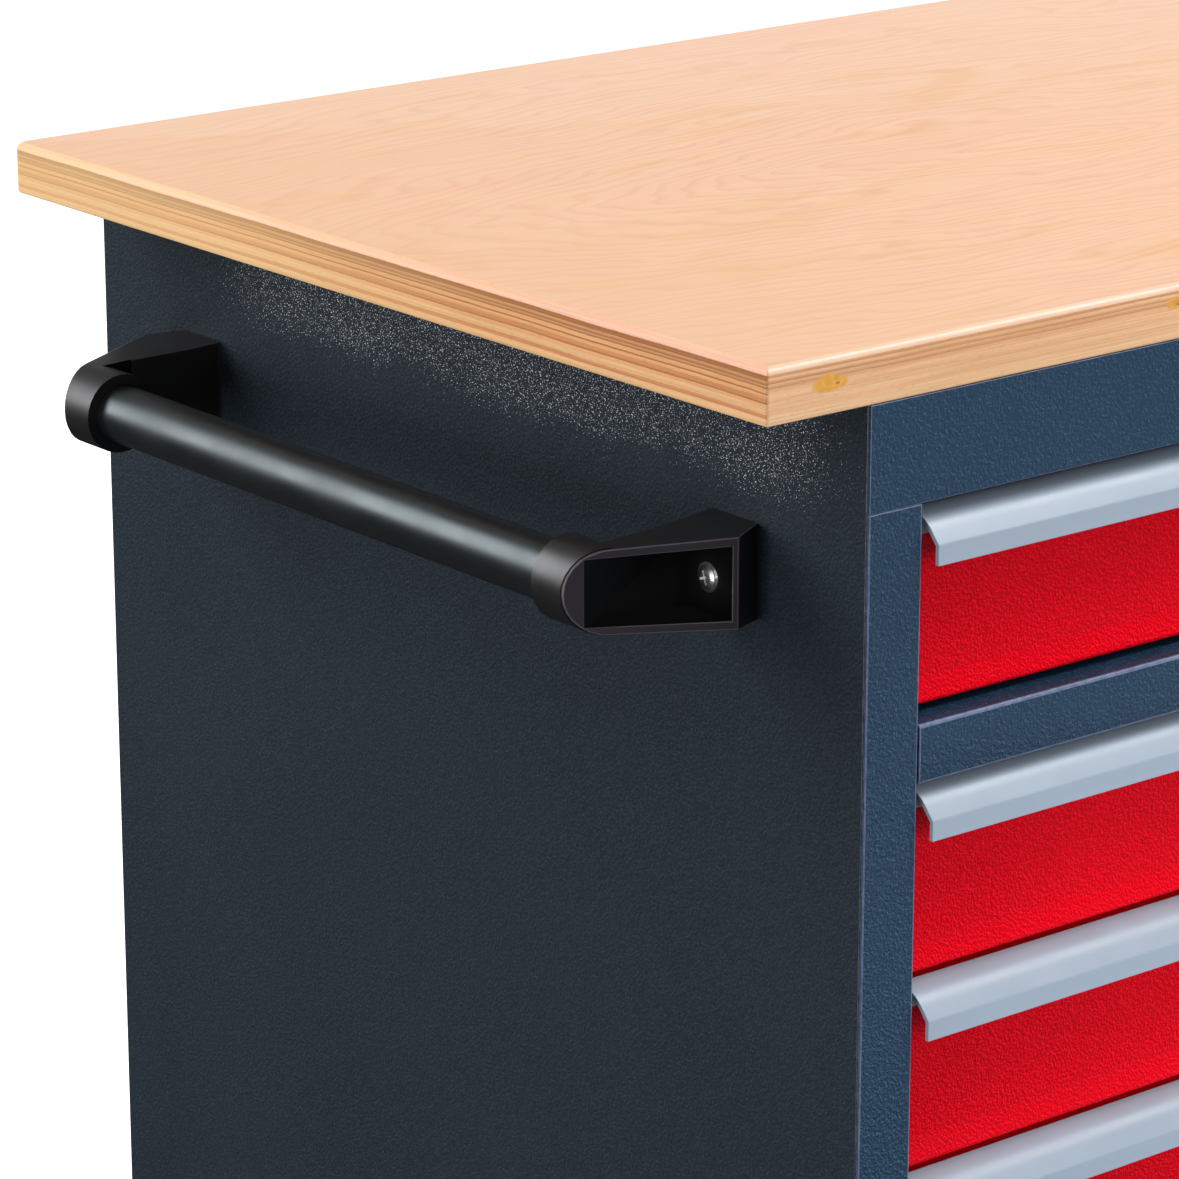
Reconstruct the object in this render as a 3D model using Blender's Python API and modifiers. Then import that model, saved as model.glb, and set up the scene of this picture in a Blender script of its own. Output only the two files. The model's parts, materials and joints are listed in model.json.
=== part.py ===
"""A mobile workbench: a plywood worktop on a sheet steel cabinet with five drawers, a push bar and four castors.

Metres, +Z up. X runs along the front, Y from the front to the back. The floor is at Z = 0, and the origin is
on the floor under the middle of the bench's overall box, push bar and drawer grips included.
"""

import math

import bmesh
import bpy
from mathutils import Matrix, Vector

# Driving dimensions
HEIGHT = 0.890
TOP_LENGTH = 1.130
TOP_DEPTH = 0.650
TOP_THICK = 0.028
BODY_WIDTH = 1.000
BODY_DEPTH = 0.658
CASTOR_HEIGHT = 0.155
SHEET = 0.002
GAP = 0.0003
TOP_EDGE_BEVEL = 0.0015

# Cabinet
PANEL_THICK = 0.025
STILE_WIDTH = 0.035
FRAME_RETURN = 0.028
RAIL_HEIGHT = 0.054
CROSS_RAIL_HEIGHT = 0.031
CHANNEL_INSET = 0.0004
BEND = 0.0025
BASE_HEIGHT = 0.028
BASE_SHEET = 0.003
REAR_RAIL = 0.030

# Drawers
FRONT_HEIGHTS = (0.102, 0.102, 0.102, 0.102, 0.152)
GAP_UNDER_RAIL = 0.0065
GAP_OVER_CROSS_RAIL = 0.004
GAP_UNDER_CROSS_RAIL = 0.0035
GAP_BETWEEN_FRONTS = 0.003
FRONT_RECESS = 0.018
FRONT_SIDE_GAP = 0.003
LIP_HEIGHT = 0.013
LIP_OUT = 0.005
LIP_BEND = 0.012
LIP_TOE = 0.0028
FRONT_FOLD = 0.014
TRAY_WIDTH = 0.886
TRAY_BACK = 0.618
TRAY_BELOW_FRONT_TOP = 0.012
TRAY_ABOVE_FRONT_BOTTOM = 0.005
GRIP_SIDE_GAP = 0.004
GRIP_SHEET = 0.0022
RUNNER_END_GAP = 0.004

# Telescopic slides. Each member is a C channel, given by its (near, far) distances from the side panel's inner
# face, where near is its web's outer face for the cabinet and middle members and its lips' tips for the drawer
# member, and by its half height. The rolling gaps between the nested lips are 1 mm.
SLIDE_SHEET = 0.002
CABINET_MEMBER = (0.009, 0.0175, 0.022)
MIDDLE_MEMBER = (0.012, 0.024, 0.019)
DRAWER_MEMBER = (0.018, 0.032, 0.016)
SLIDE_START = 0.030
SLIDE_END = 0.620
MIDDLE_END = 0.612
SLIDE_UP = 0.034
UPRIGHT_STARTS = (0.050, 0.560)
UPRIGHT_DEPTH = 0.030
UPRIGHT_FOOT = 0.035
WELD = 0.0005

# Push bar, placed from the left side panel, the front or back plane and the worktop's underside. BAR_END is
# where the bracket's slanted face crosses the bar's axis. FOOT_PANEL is the foot's near and far side.
BAR_RADIUS = 0.016
BAR_OUT = 0.078
BAR_DOWN = 0.101
BAR_END = 0.0987
SOCKET_END = 0.1105
COLLAR_RADIUS = 0.022
COLLAR_END = 0.1335
COLLAR_STEP = 0.0004
COLLAR_STEP_BACK = 0.002
ARM_BACK = 0.1105
FOOT_OUT = 0.0205
FOOT_FRONT = 0.0715
FOOT_PANEL = (0.081, 0.116)
FOOT_HALF_HEIGHT = 0.025
BRACKET_WALL = 0.0045
BRACKET_RIM = 0.0025
POCKET_PAST_AXIS = 0.012
POCKET_MOUTH = 0.02
FOOT_DRAFT = 0.0015
BLANK_HALF_HEIGHT = 0.03
PAST = 0.001

# Castors
WHEEL_RADIUS = 0.0625
WHEEL_HALF_WIDTH = 0.016
HUB_HALF_WIDTH = 0.019
HUB_RADIUS = 0.015
WEB_HALF_WIDTHS = (0.008, 0.006)
WEB_RADII = (0.017, 0.043)
RIM_RADIUS = 0.046
RIM_STEP = 0.002
TREAD_SHOULDER = (0.005, 0.001, 0.006)
AXLE_RADIUS = 0.006
AXLE_ENDS = (0.004, 0.009)
HEX_RADIUS = 0.0105
HEX_HEIGHT = 0.007
RUNNING_GAP = 0.0003
FORK_HALF_GAP = 0.020
FORK_SHEET = 0.0035
LEG_END_RADIUS = 0.015
FIXED_LEG = (0.036, 0.036, 0.128, 0.128)
SWIVEL_LEG = (0.072, 0.032, 0.122, 0.126)
CROWN_BACK = 0.054
CROWN_FRONT = 0.032
CROWN_THICK = 0.004
CROWN_HOLE_RADIUS = 0.0074
TRAIL = 0.040
PLATE_SIZE = (0.105, 0.085)
PLATE_THICK = 0.0035
RACE_RADIUS = 0.031
RACE_HEIGHT = 0.007
RACE_GAP = 0.0004
KINGPIN_RADIUS = 0.007
RIVET_RADIUS = 0.011
RIVET_HEIGHT = 0.003
CASTOR_INSET = (0.085, 0.090)
PEDAL_PIVOT = (-0.064, 0.1315)
PEDAL_PIN_RADIUS = 0.004
PEDAL_PIN_OUT = 0.002
PEDAL_HALF_WIDTH = 0.017
PEDAL_SHEET = 0.004
PEDAL_PATH = ((0.009, -0.001), (-0.004, 0.001), (-0.020, 0.004), (-0.048, 0.006), (-0.052, 0.001))
TOOL_PAST = 0.01

# Places worked out from the dimensions above. BAR_REACH is how far the push bar's collars stand off the cabinet.
BAR_REACH = BAR_OUT + COLLAR_RADIUS
GRIP_PATH = ((0.0, -0.015), (0.0, 0.0), (-0.0125, 0.0), (-0.0243, -0.0142), (-0.0243, -0.0245))
GRIP_PROUD = -GRIP_PATH[-1][0] - FRONT_RECESS
CENTRE_X = (BODY_WIDTH / 2 + BAR_REACH - TOP_LENGTH / 2) / 2
LEFT = CENTRE_X - BODY_WIDTH / 2
RIGHT = CENTRE_X + BODY_WIDTH / 2
FRONT = -(BODY_DEPTH - GRIP_PROUD) / 2
BACK = FRONT + BODY_DEPTH
UNDER = HEIGHT - TOP_THICK
CABINET_TOP = UNDER - GAP
CABINET_BOTTOM = CASTOR_HEIGHT
INNER_HALF = BODY_WIDTH / 2 - PANEL_THICK
OPENING_HALF = BODY_WIDTH / 2 - STILE_WIDTH
SEGMENTS = 28

BLUE = ((0.052, 0.082, 0.118), 0.55, 0.0)
CHARCOAL = ((0.030, 0.042, 0.052), 0.6, 0.0)
RED = ((0.46, 0.008, 0.025), 0.5, 0.0)
GREY = ((0.50, 0.55, 0.60), 0.4, 0.0)
WOOD = ((0.85, 0.60, 0.38), 0.5, 0.0)
BLACK = ((0.015, 0.015, 0.016), 0.45, 0.0)
STEEL = ((0.62, 0.63, 0.65), 0.3, 1.0)
RUBBER = ((0.08, 0.08, 0.085), 0.7, 0.0)


def clear_scene():
    for obj in list(bpy.data.objects):
        bpy.data.objects.remove(obj, do_unlink=True)


def new_collection(name):
    collection = bpy.data.collections.new(name)
    bpy.context.scene.collection.children.link(collection)
    return collection


def material(name, finish):
    """The named material, made on first use from (colour, roughness, metallic)."""
    found = bpy.data.materials.get(name)
    if found:
        return found
    colour, roughness, metallic = finish
    made = bpy.data.materials.new(name)
    made.use_nodes = True
    shader = made.node_tree.nodes["Principled BSDF"]
    shader.inputs["Base Color"].default_value = (*colour, 1)
    shader.inputs["Roughness"].default_value = roughness
    shader.inputs["Metallic"].default_value = metallic
    made.diffuse_color = (*colour, 1)
    return made


def object_of(name, bm, finish=None, location=(0, 0, 0)):
    """An object made from a bmesh: a part where it has a finish, otherwise a tool for a Boolean."""
    bmesh.ops.recalc_face_normals(bm, faces=bm.faces)
    mesh = bpy.data.meshes.new(name)
    bm.to_mesh(mesh)
    bm.free()
    obj = bpy.data.objects.new(name, mesh)
    obj.location = location
    if finish:
        PARTS.objects.link(obj)
        mesh.materials.append(material(*finish))
    else:
        CUTTERS.objects.link(obj)
        obj.hide_render = True
        obj.display_type = "WIRE"
    return obj


def box(name, low, high, finish=None):
    bm = bmesh.new()
    bmesh.ops.create_cube(bm, size=1.0)
    size = Vector(high) - Vector(low)
    middle = (Vector(high) + Vector(low)) / 2
    bmesh.ops.transform(bm, matrix=Matrix.Translation(middle) @ Matrix.Diagonal((*size, 1)), verts=bm.verts)
    return object_of(name, bm, finish)


def cylinder(name, radius, start, end, finish=None, segments=SEGMENTS):
    """A solid cylinder between two points, or a prism where it has few segments."""
    bm = bmesh.new()
    along = Vector(end) - Vector(start)
    bmesh.ops.create_cone(
        bm, cap_ends=True, segments=segments, radius1=radius, radius2=radius, depth=along.length
    )
    turn = along.to_track_quat("Z", "Y").to_matrix().to_4x4()
    middle = (Vector(end) + Vector(start)) / 2
    bmesh.ops.transform(bm, matrix=Matrix.Translation(middle) @ turn, verts=bm.verts)
    return object_of(name, bm, finish)


def extrusion(name, outline, plane, start, end, finish=None):
    """A flat outline of (a, b) points in the plane 'XY', 'YZ' or 'XZ', drawn out along the third axis."""
    place = {
        "XY": lambda a, b, c: (a, b, c),
        "YZ": lambda a, b, c: (c, a, b),
        "XZ": lambda a, b, c: (a, c, b),
    }[plane]
    bm = bmesh.new()
    face = bm.faces.new([bm.verts.new(place(a, b, start)) for a, b in outline])
    drawn = bmesh.ops.extrude_face_region(bm, geom=[face])["geom"]
    moved = [item for item in drawn if isinstance(item, bmesh.types.BMVert)]
    bmesh.ops.translate(bm, verts=moved, vec=Vector(place(0, 0, end)) - Vector(place(0, 0, start)))
    return object_of(name, bm, finish)


def turned(name, profile, centre, finish):
    """A ring about an axis along Y through its centre, from a closed profile of (radius, along) points.

    It is turned by half a step, so that it stands on one of its flats.
    """
    bm = bmesh.new()
    verts = [bm.verts.new((radius, 0, along)) for radius, along in profile]
    for first, second in zip(verts, verts[1:] + verts[:1]):
        bm.edges.new((first, second))
    obj = object_of(name, bm, finish, centre)
    obj.rotation_euler = (math.pi / 2, math.pi / SEGMENTS, 0)
    screw = obj.modifiers.new("Turn", "SCREW")
    screw.steps = screw.render_steps = SEGMENTS
    screw.merge_threshold = 0.0001
    return obj


def boolean(obj, tool, operation):
    modifier = obj.modifiers.new(tool.name, "BOOLEAN")
    modifier.operation = operation
    modifier.object = tool
    return obj


def cut(obj, *tools):
    for tool in tools:
        boolean(obj, tool, "DIFFERENCE")
    return obj


def join(obj, *tools):
    for tool in tools:
        boolean(obj, tool, "UNION")
    return obj


def arc(centre, radius, start, end, count=4):
    """Points on an arc, from one angle to another in degrees."""
    angles = [math.radians(start + (end - start) * i / (count - 1)) for i in range(count)]
    return [(centre[0] + radius * math.cos(a), centre[1] + radius * math.sin(a)) for a in angles]


def sheet_outline(path, thick):
    """The outline of a bent sheet: its outer line, then the same line set off by its thickness to the left."""
    normals = []
    for (ax, ay), (bx, by) in zip(path, path[1:]):
        along = Vector((bx - ax, by - ay)).normalized()
        normals.append(Vector((-along.y, along.x)))
    inner = []
    for i, point in enumerate(path):
        before = normals[max(i - 1, 0)]
        after = normals[min(i, len(normals) - 1)]
        mitre = (before + after).normalized()
        inner.append(tuple(Vector(point) + mitre * thick / mitre.dot(after)))
    return list(path) + inner[::-1]


def empty(name, location):
    obj = bpy.data.objects.new(name, None)
    obj.location = location
    PARTS.objects.link(obj)
    return obj


def attach(parent, *children):
    """Parents the children without moving them."""
    for child in children:
        child.parent = parent
        child.matrix_parent_inverse = Matrix.Translation(parent.location).inverted()


def mirrored(outline, centre):
    return [(2 * centre - a, b) for a, b in outline][::-1]


def worktop():
    low = (CENTRE_X - TOP_LENGTH / 2, FRONT, UNDER)
    high = (CENTRE_X + TOP_LENGTH / 2, FRONT + TOP_DEPTH, HEIGHT)
    obj = box("worktop", low, high, ("birch_plywood", WOOD))
    bevel = obj.modifiers.new("Eased edges", "BEVEL")
    bevel.width = TOP_EDGE_BEVEL
    bevel.segments = 2


def pan(name, low, high, opening, thick, finish):
    """A shallow folded tray: a box hollowed from the side given by opening, such as (1, 0, 0) for its +X side."""
    walls = Vector((thick, thick, thick))
    past = Vector(opening) * 2 * thick
    inner_low = Vector(low) + walls + Vector([min(v, 0) for v in past])
    inner_high = Vector(high) - walls + Vector([max(v, 0) for v in past])
    return cut(box(name, low, high, finish), box(name + "_hollow", inner_low, inner_high))


def side_panels():
    front = FRONT + SHEET + GAP
    for name, outer, inward in (("side_panel_left", LEFT, 1), ("side_panel_right", RIGHT, -1)):
        inner = outer + inward * PANEL_THICK
        low = (min(outer, inner), front, CABINET_BOTTOM)
        high = (max(outer, inner), BACK, CABINET_TOP)
        pan(name, low, high, (inward, 0, 0), SHEET, ("charcoal_powder_coat", CHARCOAL))


def cabinet_panels():
    left, right = CENTRE_X - INNER_HALF + GAP, CENTRE_X + INNER_HALF - GAP
    coat = ("charcoal_powder_coat", CHARCOAL)
    back_front = BACK - PANEL_THICK
    pan("back_panel", (left, back_front, CABINET_BOTTOM), (right, BACK, CABINET_TOP), (0, -1, 0), SHEET, coat)
    base_front = FRONT + FRAME_RETURN + SHEET + GAP
    base_high = (right, back_front - GAP, CABINET_BOTTOM + BASE_HEIGHT)
    pan("base_tray", (left, base_front, CABINET_BOTTOM), base_high, (0, 0, 1), BASE_SHEET, coat)
    rail_front, rail_bottom = back_front - REAR_RAIL, CABINET_TOP - REAR_RAIL
    rail = [(back_front - GAP, CABINET_TOP), (rail_front, CABINET_TOP)]
    rail += [(rail_front, rail_bottom), (back_front - GAP, rail_bottom)]
    extrusion("rear_top_rail", sheet_outline(rail, SHEET), "YZ", left, right, coat)


def rail_section(bottom, top, front=FRONT):
    """The (y, z) outline of a C shaped rail that is open towards the back, with softly bent front edges."""
    back = FRONT + FRAME_RETURN
    path = [(back, top)] + arc((front + BEND, top - BEND), BEND, 90, 180)
    path += arc((front + BEND, bottom + BEND), BEND, 180, 270) + [(back, bottom)]
    return sheet_outline(path, SHEET)


def front_frame():
    coat = ("blue_powder_coat", BLUE)
    rail_bottom = UNDER - RAIL_HEIGHT
    inner_left, inner_right = CENTRE_X - INNER_HALF + GAP, CENTRE_X + INNER_HALF - GAP
    web = box("top_rail", (LEFT, FRONT, rail_bottom), (RIGHT, FRONT + SHEET, CABINET_TOP), coat)
    section = rail_section(rail_bottom + CHANNEL_INSET, CABINET_TOP - CHANNEL_INSET, FRONT + CHANNEL_INSET)
    join(web, extrusion("top_rail_channel", section, "YZ", inner_left, inner_right))

    left, right = CENTRE_X - OPENING_HALF + GAP, CENTRE_X + OPENING_HALF - GAP
    top = UNDER - RAIL_HEIGHT - GAP_UNDER_RAIL - FRONT_HEIGHTS[0] - GAP_OVER_CROSS_RAIL
    extrusion("cross_rail", rail_section(top - CROSS_RAIL_HEIGHT, top), "YZ", left, right, coat)
    bottom_top = drawer_levels()[-1][0] - GAP_OVER_CROSS_RAIL
    extrusion("bottom_rail", rail_section(CABINET_BOTTOM, bottom_top), "YZ", left, right, coat)

    edge = LEFT + STILE_WIDTH
    path = [(LEFT, FRONT)] + arc((edge - BEND, FRONT + BEND), BEND, -90, 0) + [(edge, FRONT + FRAME_RETURN)]
    section = sheet_outline(path, SHEET)
    stile_top = rail_bottom - GAP
    extrusion("stile_left", section, "XY", CABINET_BOTTOM, stile_top, coat)
    extrusion("stile_right", mirrored(section, CENTRE_X), "XY", CABINET_BOTTOM, stile_top, coat)


def drawer_levels():
    """(bottom, top) of each drawer front, from the top drawer down."""
    levels = []
    top = UNDER - RAIL_HEIGHT - GAP_UNDER_RAIL
    for number, height in enumerate(FRONT_HEIGHTS):
        levels.append((top - height, top))
        top -= height + GAP_BETWEEN_FRONTS
        if number == 0:
            top -= GAP_OVER_CROSS_RAIL + CROSS_RAIL_HEIGHT + GAP_UNDER_CROSS_RAIL - GAP_BETWEEN_FRONTS
    return levels


def channel(face, inward, near, far, half_height, height, web_at_near):
    """The (x, z) outline of a C channel whose distances run inward from a face of the cabinet."""
    web, tip = (near, far) if web_at_near else (far, near)
    points = [(tip, half_height), (web, half_height), (web, -half_height), (tip, -half_height)]
    outline = sheet_outline(points, SLIDE_SHEET if web_at_near else -SLIDE_SHEET)
    return [(face + inward * a, height + b) for a, b in outline]


def slide_height(level):
    return level[0] + TRAY_ABOVE_FRONT_BOTTOM + SLIDE_UP


def slides(side, outer, inward):
    """The uprights and fixed members of one side as one welded rack, and a moving middle member per drawer."""
    face = outer + inward * PANEL_THICK
    steel = ("zinc_plated_steel", STEEL)
    near, far = face + inward * GAP, face + inward * (CABINET_MEMBER[0] + WELD)
    low_z, high_z = CABINET_BOTTOM + UPRIGHT_FOOT, UNDER - RAIL_HEIGHT
    rack = None
    for start in UPRIGHT_STARTS:
        y, end_y = FRONT + start, FRONT + start + UPRIGHT_DEPTH
        path = [(near, y), (far, y), (far, end_y), (near, end_y)]
        section = sheet_outline(path, SHEET * inward)
        if rack is None:
            rack = extrusion(f"slide_rack_{side}", section, "XY", low_z, high_z, steel)
        else:
            join(rack, extrusion(f"slide_rack_{side}_upright", section, "XY", low_z, high_z))
    for number, level in enumerate(drawer_levels(), 1):
        height = slide_height(level)
        fixed = channel(face, inward, *CABINET_MEMBER, height, True)
        join(rack, extrusion(f"slide_rack_{side}_{number}", fixed, "XZ", FRONT + SLIDE_START, FRONT + SLIDE_END))
        middle = channel(face, inward, *MIDDLE_MEMBER, height, True)
        name = f"slide_middle_{number}_{side}"
        made = extrusion(name, middle, "XZ", FRONT + SLIDE_START, FRONT + MIDDLE_END, steel)
        attach(SLIDE_EMPTIES[number], made)


def drawer_front(number, bottom, top):
    """A folded steel front: a flat face, a lip that flares forward along its foot, and returns behind."""
    face = FRONT + FRONT_RECESS
    half = OPENING_HALF - FRONT_SIDE_GAP
    path = [(face + FRONT_FOLD, top), (face, top), (face, bottom + LIP_HEIGHT + LIP_BEND / 3)]
    path += [(face - LIP_OUT * 0.15, bottom + LIP_HEIGHT - LIP_BEND / 3), (face - LIP_OUT, bottom + LIP_TOE)]
    path += [(face - LIP_OUT + LIP_TOE, bottom), (face + FRONT_FOLD, bottom)]
    outline = sheet_outline(path, SHEET)
    span = (CENTRE_X - half, CENTRE_X + half)
    return extrusion(f"drawer_{number}_front", outline, "YZ", *span, ("red_powder_coat", RED))


def drawer_grip(number, top):
    """The light grey grip profile along the front's top edge. Fingers go in from below."""
    face = FRONT + FRONT_RECESS - GAP - GRIP_SHEET
    path = [(face + GRIP_SHEET + y, top + z) for y, z in GRIP_PATH]
    half = OPENING_HALF - GRIP_SIDE_GAP
    outline = sheet_outline(path, GRIP_SHEET)
    span = (CENTRE_X - half, CENTRE_X + half)
    return extrusion(f"drawer_{number}_grip", outline, "YZ", *span, ("light_grey_profile", GREY))


def drawer_tray(number, bottom, top):
    half = TRAY_WIDTH / 2
    front, back = FRONT + FRONT_RECESS + SHEET + GAP, FRONT + TRAY_BACK
    floor = bottom + TRAY_ABOVE_FRONT_BOTTOM
    rim = top - TRAY_BELOW_FRONT_TOP
    low, high = (CENTRE_X - half, front, floor), (CENTRE_X + half, back, rim)
    tray = pan(f"drawer_{number}_tray", low, high, (0, 0, 1), SHEET, ("tray_grey_coat", GREY))
    for side, outer, inward in (("left", LEFT, 1), ("right", RIGHT, -1)):
        near, far, half_height = DRAWER_MEMBER
        face = outer + inward * PANEL_THICK
        outline = channel(face, inward, near, far + WELD, half_height, floor + SLIDE_UP, False)
        runner_front, runner_back = FRONT + SLIDE_START + RUNNER_END_GAP, back - RUNNER_END_GAP
        join(tray, extrusion(f"drawer_{number}_runner_{side}", outline, "XZ", runner_front, runner_back))
    return tray


def drawers():
    for number, (bottom, top) in enumerate(drawer_levels(), 1):
        pull = empty(f"drawer_{number}_slide", (CENTRE_X, FRONT + FRONT_RECESS, (bottom + top) / 2))
        front, tray = drawer_front(number, bottom, top), drawer_tray(number, bottom, top)
        attach(pull, front, tray, drawer_grip(number, top))


def bracket(name, towards):
    """A moulded bracket: a collar round the bar, and an arm to the foot on the panel, open in a slanted face.

    towards is +1 where the bar leaves it towards the back, and -1 towards the front. Places along Y are
    distances from the cabinet's nearer end plane.
    """
    height = UNDER - BAR_DOWN
    axis_x = LEFT - BAR_OUT
    corner_x = LEFT - FOOT_OUT

    def place(x, distance):
        return x, FRONT + BODY_DEPTH / 2 - towards * (BODY_DEPTH / 2 - distance)

    def face(x):
        return BAR_END + (x - axis_x) * (FOOT_FRONT - BAR_END) / (corner_x - axis_x)

    def prism(label, outline, finish=None):
        plan = [place(*point) for point in outline]
        return extrusion(name + label, plan, "XY", height - BLANK_HALF_HEIGHT, height + BLANK_HALF_HEIGHT, finish)

    def span(half_heights, thinner=0.0):
        """The side view: half heights at the bar, the foot's corner and the panel, less a wall's thickness."""
        near, middle, far = (half - thinner for half in half_heights)
        stations = [(axis_x, near), (corner_x, middle), (LEFT + PAST, far)]
        return [(x, height - half) for x, half in stations] + [(x, height + half) for x, half in reversed(stations)]

    arm_radius = COLLAR_RADIUS - COLLAR_STEP
    halves = (arm_radius, FOOT_HALF_HEIGHT - FOOT_DRAFT, FOOT_HALF_HEIGHT)
    side = arc((axis_x, height), arm_radius, 90, 270, SEGMENTS // 2 + 1)[:-1] + span(halves)
    low_y, high_y = sorted((place(0, 0)[1], place(0, BAR_END * 2)[1]))
    outer_x = axis_x - COLLAR_RADIUS
    arm_x = axis_x + COLLAR_RADIUS
    panel_x = LEFT - GAP
    plan = [(outer_x, face(outer_x)), (corner_x, FOOT_FRONT), (panel_x, FOOT_PANEL[0]), (panel_x, FOOT_PANEL[1])]
    plan += [(arm_x, ARM_BACK), (outer_x, ARM_BACK)]
    body = prism("", plan, ("black_nylon", BLACK))
    boolean(body, extrusion(name + "_side", side, "XZ", low_y, high_y), "INTERSECT")

    collar = cylinder(
        name + "_collar",
        COLLAR_RADIUS,
        (*place(axis_x, BAR_END - COLLAR_RADIUS), height),
        (*place(axis_x, COLLAR_END), height),
    )
    plan = [(outer_x - PAST, face(outer_x) + COLLAR_STEP_BACK), (arm_x + PAST, face(arm_x) + COLLAR_STEP_BACK)]
    plan += [(arm_x + PAST, COLLAR_END + PAST), (outer_x - PAST, COLLAR_END + PAST)]
    boolean(collar, prism("_collar_plan", plan), "INTERSECT")
    join(body, collar)

    pocket_end = corner_x - BRACKET_RIM
    pocket_start = axis_x - POCKET_PAST_AXIS
    plan = [(pocket_start, face(pocket_start)), (pocket_start, POCKET_MOUTH), (pocket_end, POCKET_MOUTH)]
    plan += [(pocket_end, FOOT_PANEL[1] - BRACKET_WALL - FOOT_DRAFT)]
    recess = prism("_recess", plan)
    inside = span(halves, BRACKET_WALL)
    inside[0] = (pocket_start - PAST, inside[0][1])
    inside[-1] = (pocket_start - PAST, inside[-1][1])
    boolean(recess, extrusion(name + "_recess_side", inside, "XZ", low_y, high_y), "INTERSECT")
    socket = cylinder(
        name + "_socket",
        BAR_RADIUS + GAP,
        (*place(axis_x, SOCKET_END), height),
        (*place(axis_x, COLLAR_END + TOOL_PAST), height),
    )
    cut(body, socket, recess)


def push_bar():
    middle = FRONT + BODY_DEPTH / 2
    half = BODY_DEPTH / 2 - SOCKET_END - GAP
    x, z = LEFT - BAR_OUT, UNDER - BAR_DOWN
    cylinder("push_bar", BAR_RADIUS, (x, middle - half, z), (x, middle + half, z), ("bar_black_coat", BLACK))
    bracket("bar_bracket_front", 1)
    bracket("bar_bracket_rear", -1)


def axle(name, centre):
    """A bolt with a hex head and a nut, through the fork and the wheel."""
    x, y, z = centre
    reach = FORK_HALF_GAP + FORK_SHEET + GAP
    steel = ("zinc_plated_steel", STEEL)
    bolt_start, bolt_end = y - reach - AXLE_ENDS[0], y + reach + AXLE_ENDS[1]
    bolt = cylinder(name, AXLE_RADIUS, (x, bolt_start, z), (x, bolt_end, z), steel)
    head = cylinder(name + "_head", HEX_RADIUS, (x, y - reach - HEX_HEIGHT, z), (x, y - reach, z), segments=6)
    nut = cylinder(name + "_nut", HEX_RADIUS, (x, y + reach, z), (x, y + reach + HEX_HEIGHT, z), segments=6)
    return join(bolt, head, nut)


def wheel(name, centre):
    bore = AXLE_RADIUS + RUNNING_GAP
    radius = WHEEL_RADIUS / math.cos(math.pi / SEGMENTS)
    side_down, edge_down, edge_in = TREAD_SHOULDER
    half = [(bore, HUB_HALF_WIDTH), (HUB_RADIUS, HUB_HALF_WIDTH)] + list(zip(WEB_RADII, WEB_HALF_WIDTHS))
    half += [(RIM_RADIUS, WHEEL_HALF_WIDTH - RIM_STEP), (radius - side_down, WHEEL_HALF_WIDTH)]
    half += [(radius - edge_down, WHEEL_HALF_WIDTH - edge_in)]
    profile = half + [(radius, 0.0)] + [(out, -along) for out, along in reversed(half)]
    return turned(name, profile, centre, ("castor_rubber", RUBBER))


def plate(name, centre, finish=None):
    x, y = centre
    a, b = PLATE_SIZE[0] / 2, PLATE_SIZE[1] / 2
    top = CASTOR_HEIGHT - GAP
    return box(name, (x - a, y - b, top - PLATE_THICK), (x + a, y + b, top), finish)


def leg_outline(x, axle_x, top, reach_back, reach_front, shoulder_back, shoulder_front):
    """The (x, z) outline of a fork leg, from its crown down to the round end about the axle."""
    end = arc((x + axle_x, WHEEL_RADIUS), LEG_END_RADIUS, 180, 360, 9)
    crown = [(x + reach_front, shoulder_front), (x + reach_front, top)]
    return end + crown + [(x - reach_back, top), (x - reach_back, shoulder_back)]


def legs(name, outline, y, finish=None):
    """Two fork legs, the first with the name and finish given, the second to be joined to it."""
    inner, outer = FORK_HALF_GAP, FORK_HALF_GAP + FORK_SHEET
    first = extrusion(name, outline, "XZ", y - outer, y - inner, finish)
    second = extrusion(name + "_leg", outline, "XZ", y + inner, y + outer)
    return first, second


def fixed_castor(side, x, y):
    steel = ("zinc_plated_steel", STEEL)
    top = CASTOR_HEIGHT - GAP - PLATE_THICK / 2
    name = f"castor_bracket_{side}"
    outline = leg_outline(x, 0, top, *FIXED_LEG)
    first, second = legs(name, outline, y, steel)
    join(first, plate(name + "_plate", (x, y)), second)
    reach = FORK_HALF_GAP + FORK_SHEET + TOOL_PAST
    bore = AXLE_RADIUS + GAP
    cut(first, cylinder(name + "_bore", bore, (x, y - reach, WHEEL_RADIUS), (x, y + reach, WHEEL_RADIUS)))
    axle(f"axle_{side}", (x, y, WHEEL_RADIUS))
    attach(empty(f"wheel_spin_{side}", (x, y, WHEEL_RADIUS)), wheel(f"wheel_{side}", (x, y, WHEEL_RADIUS)))


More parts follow.
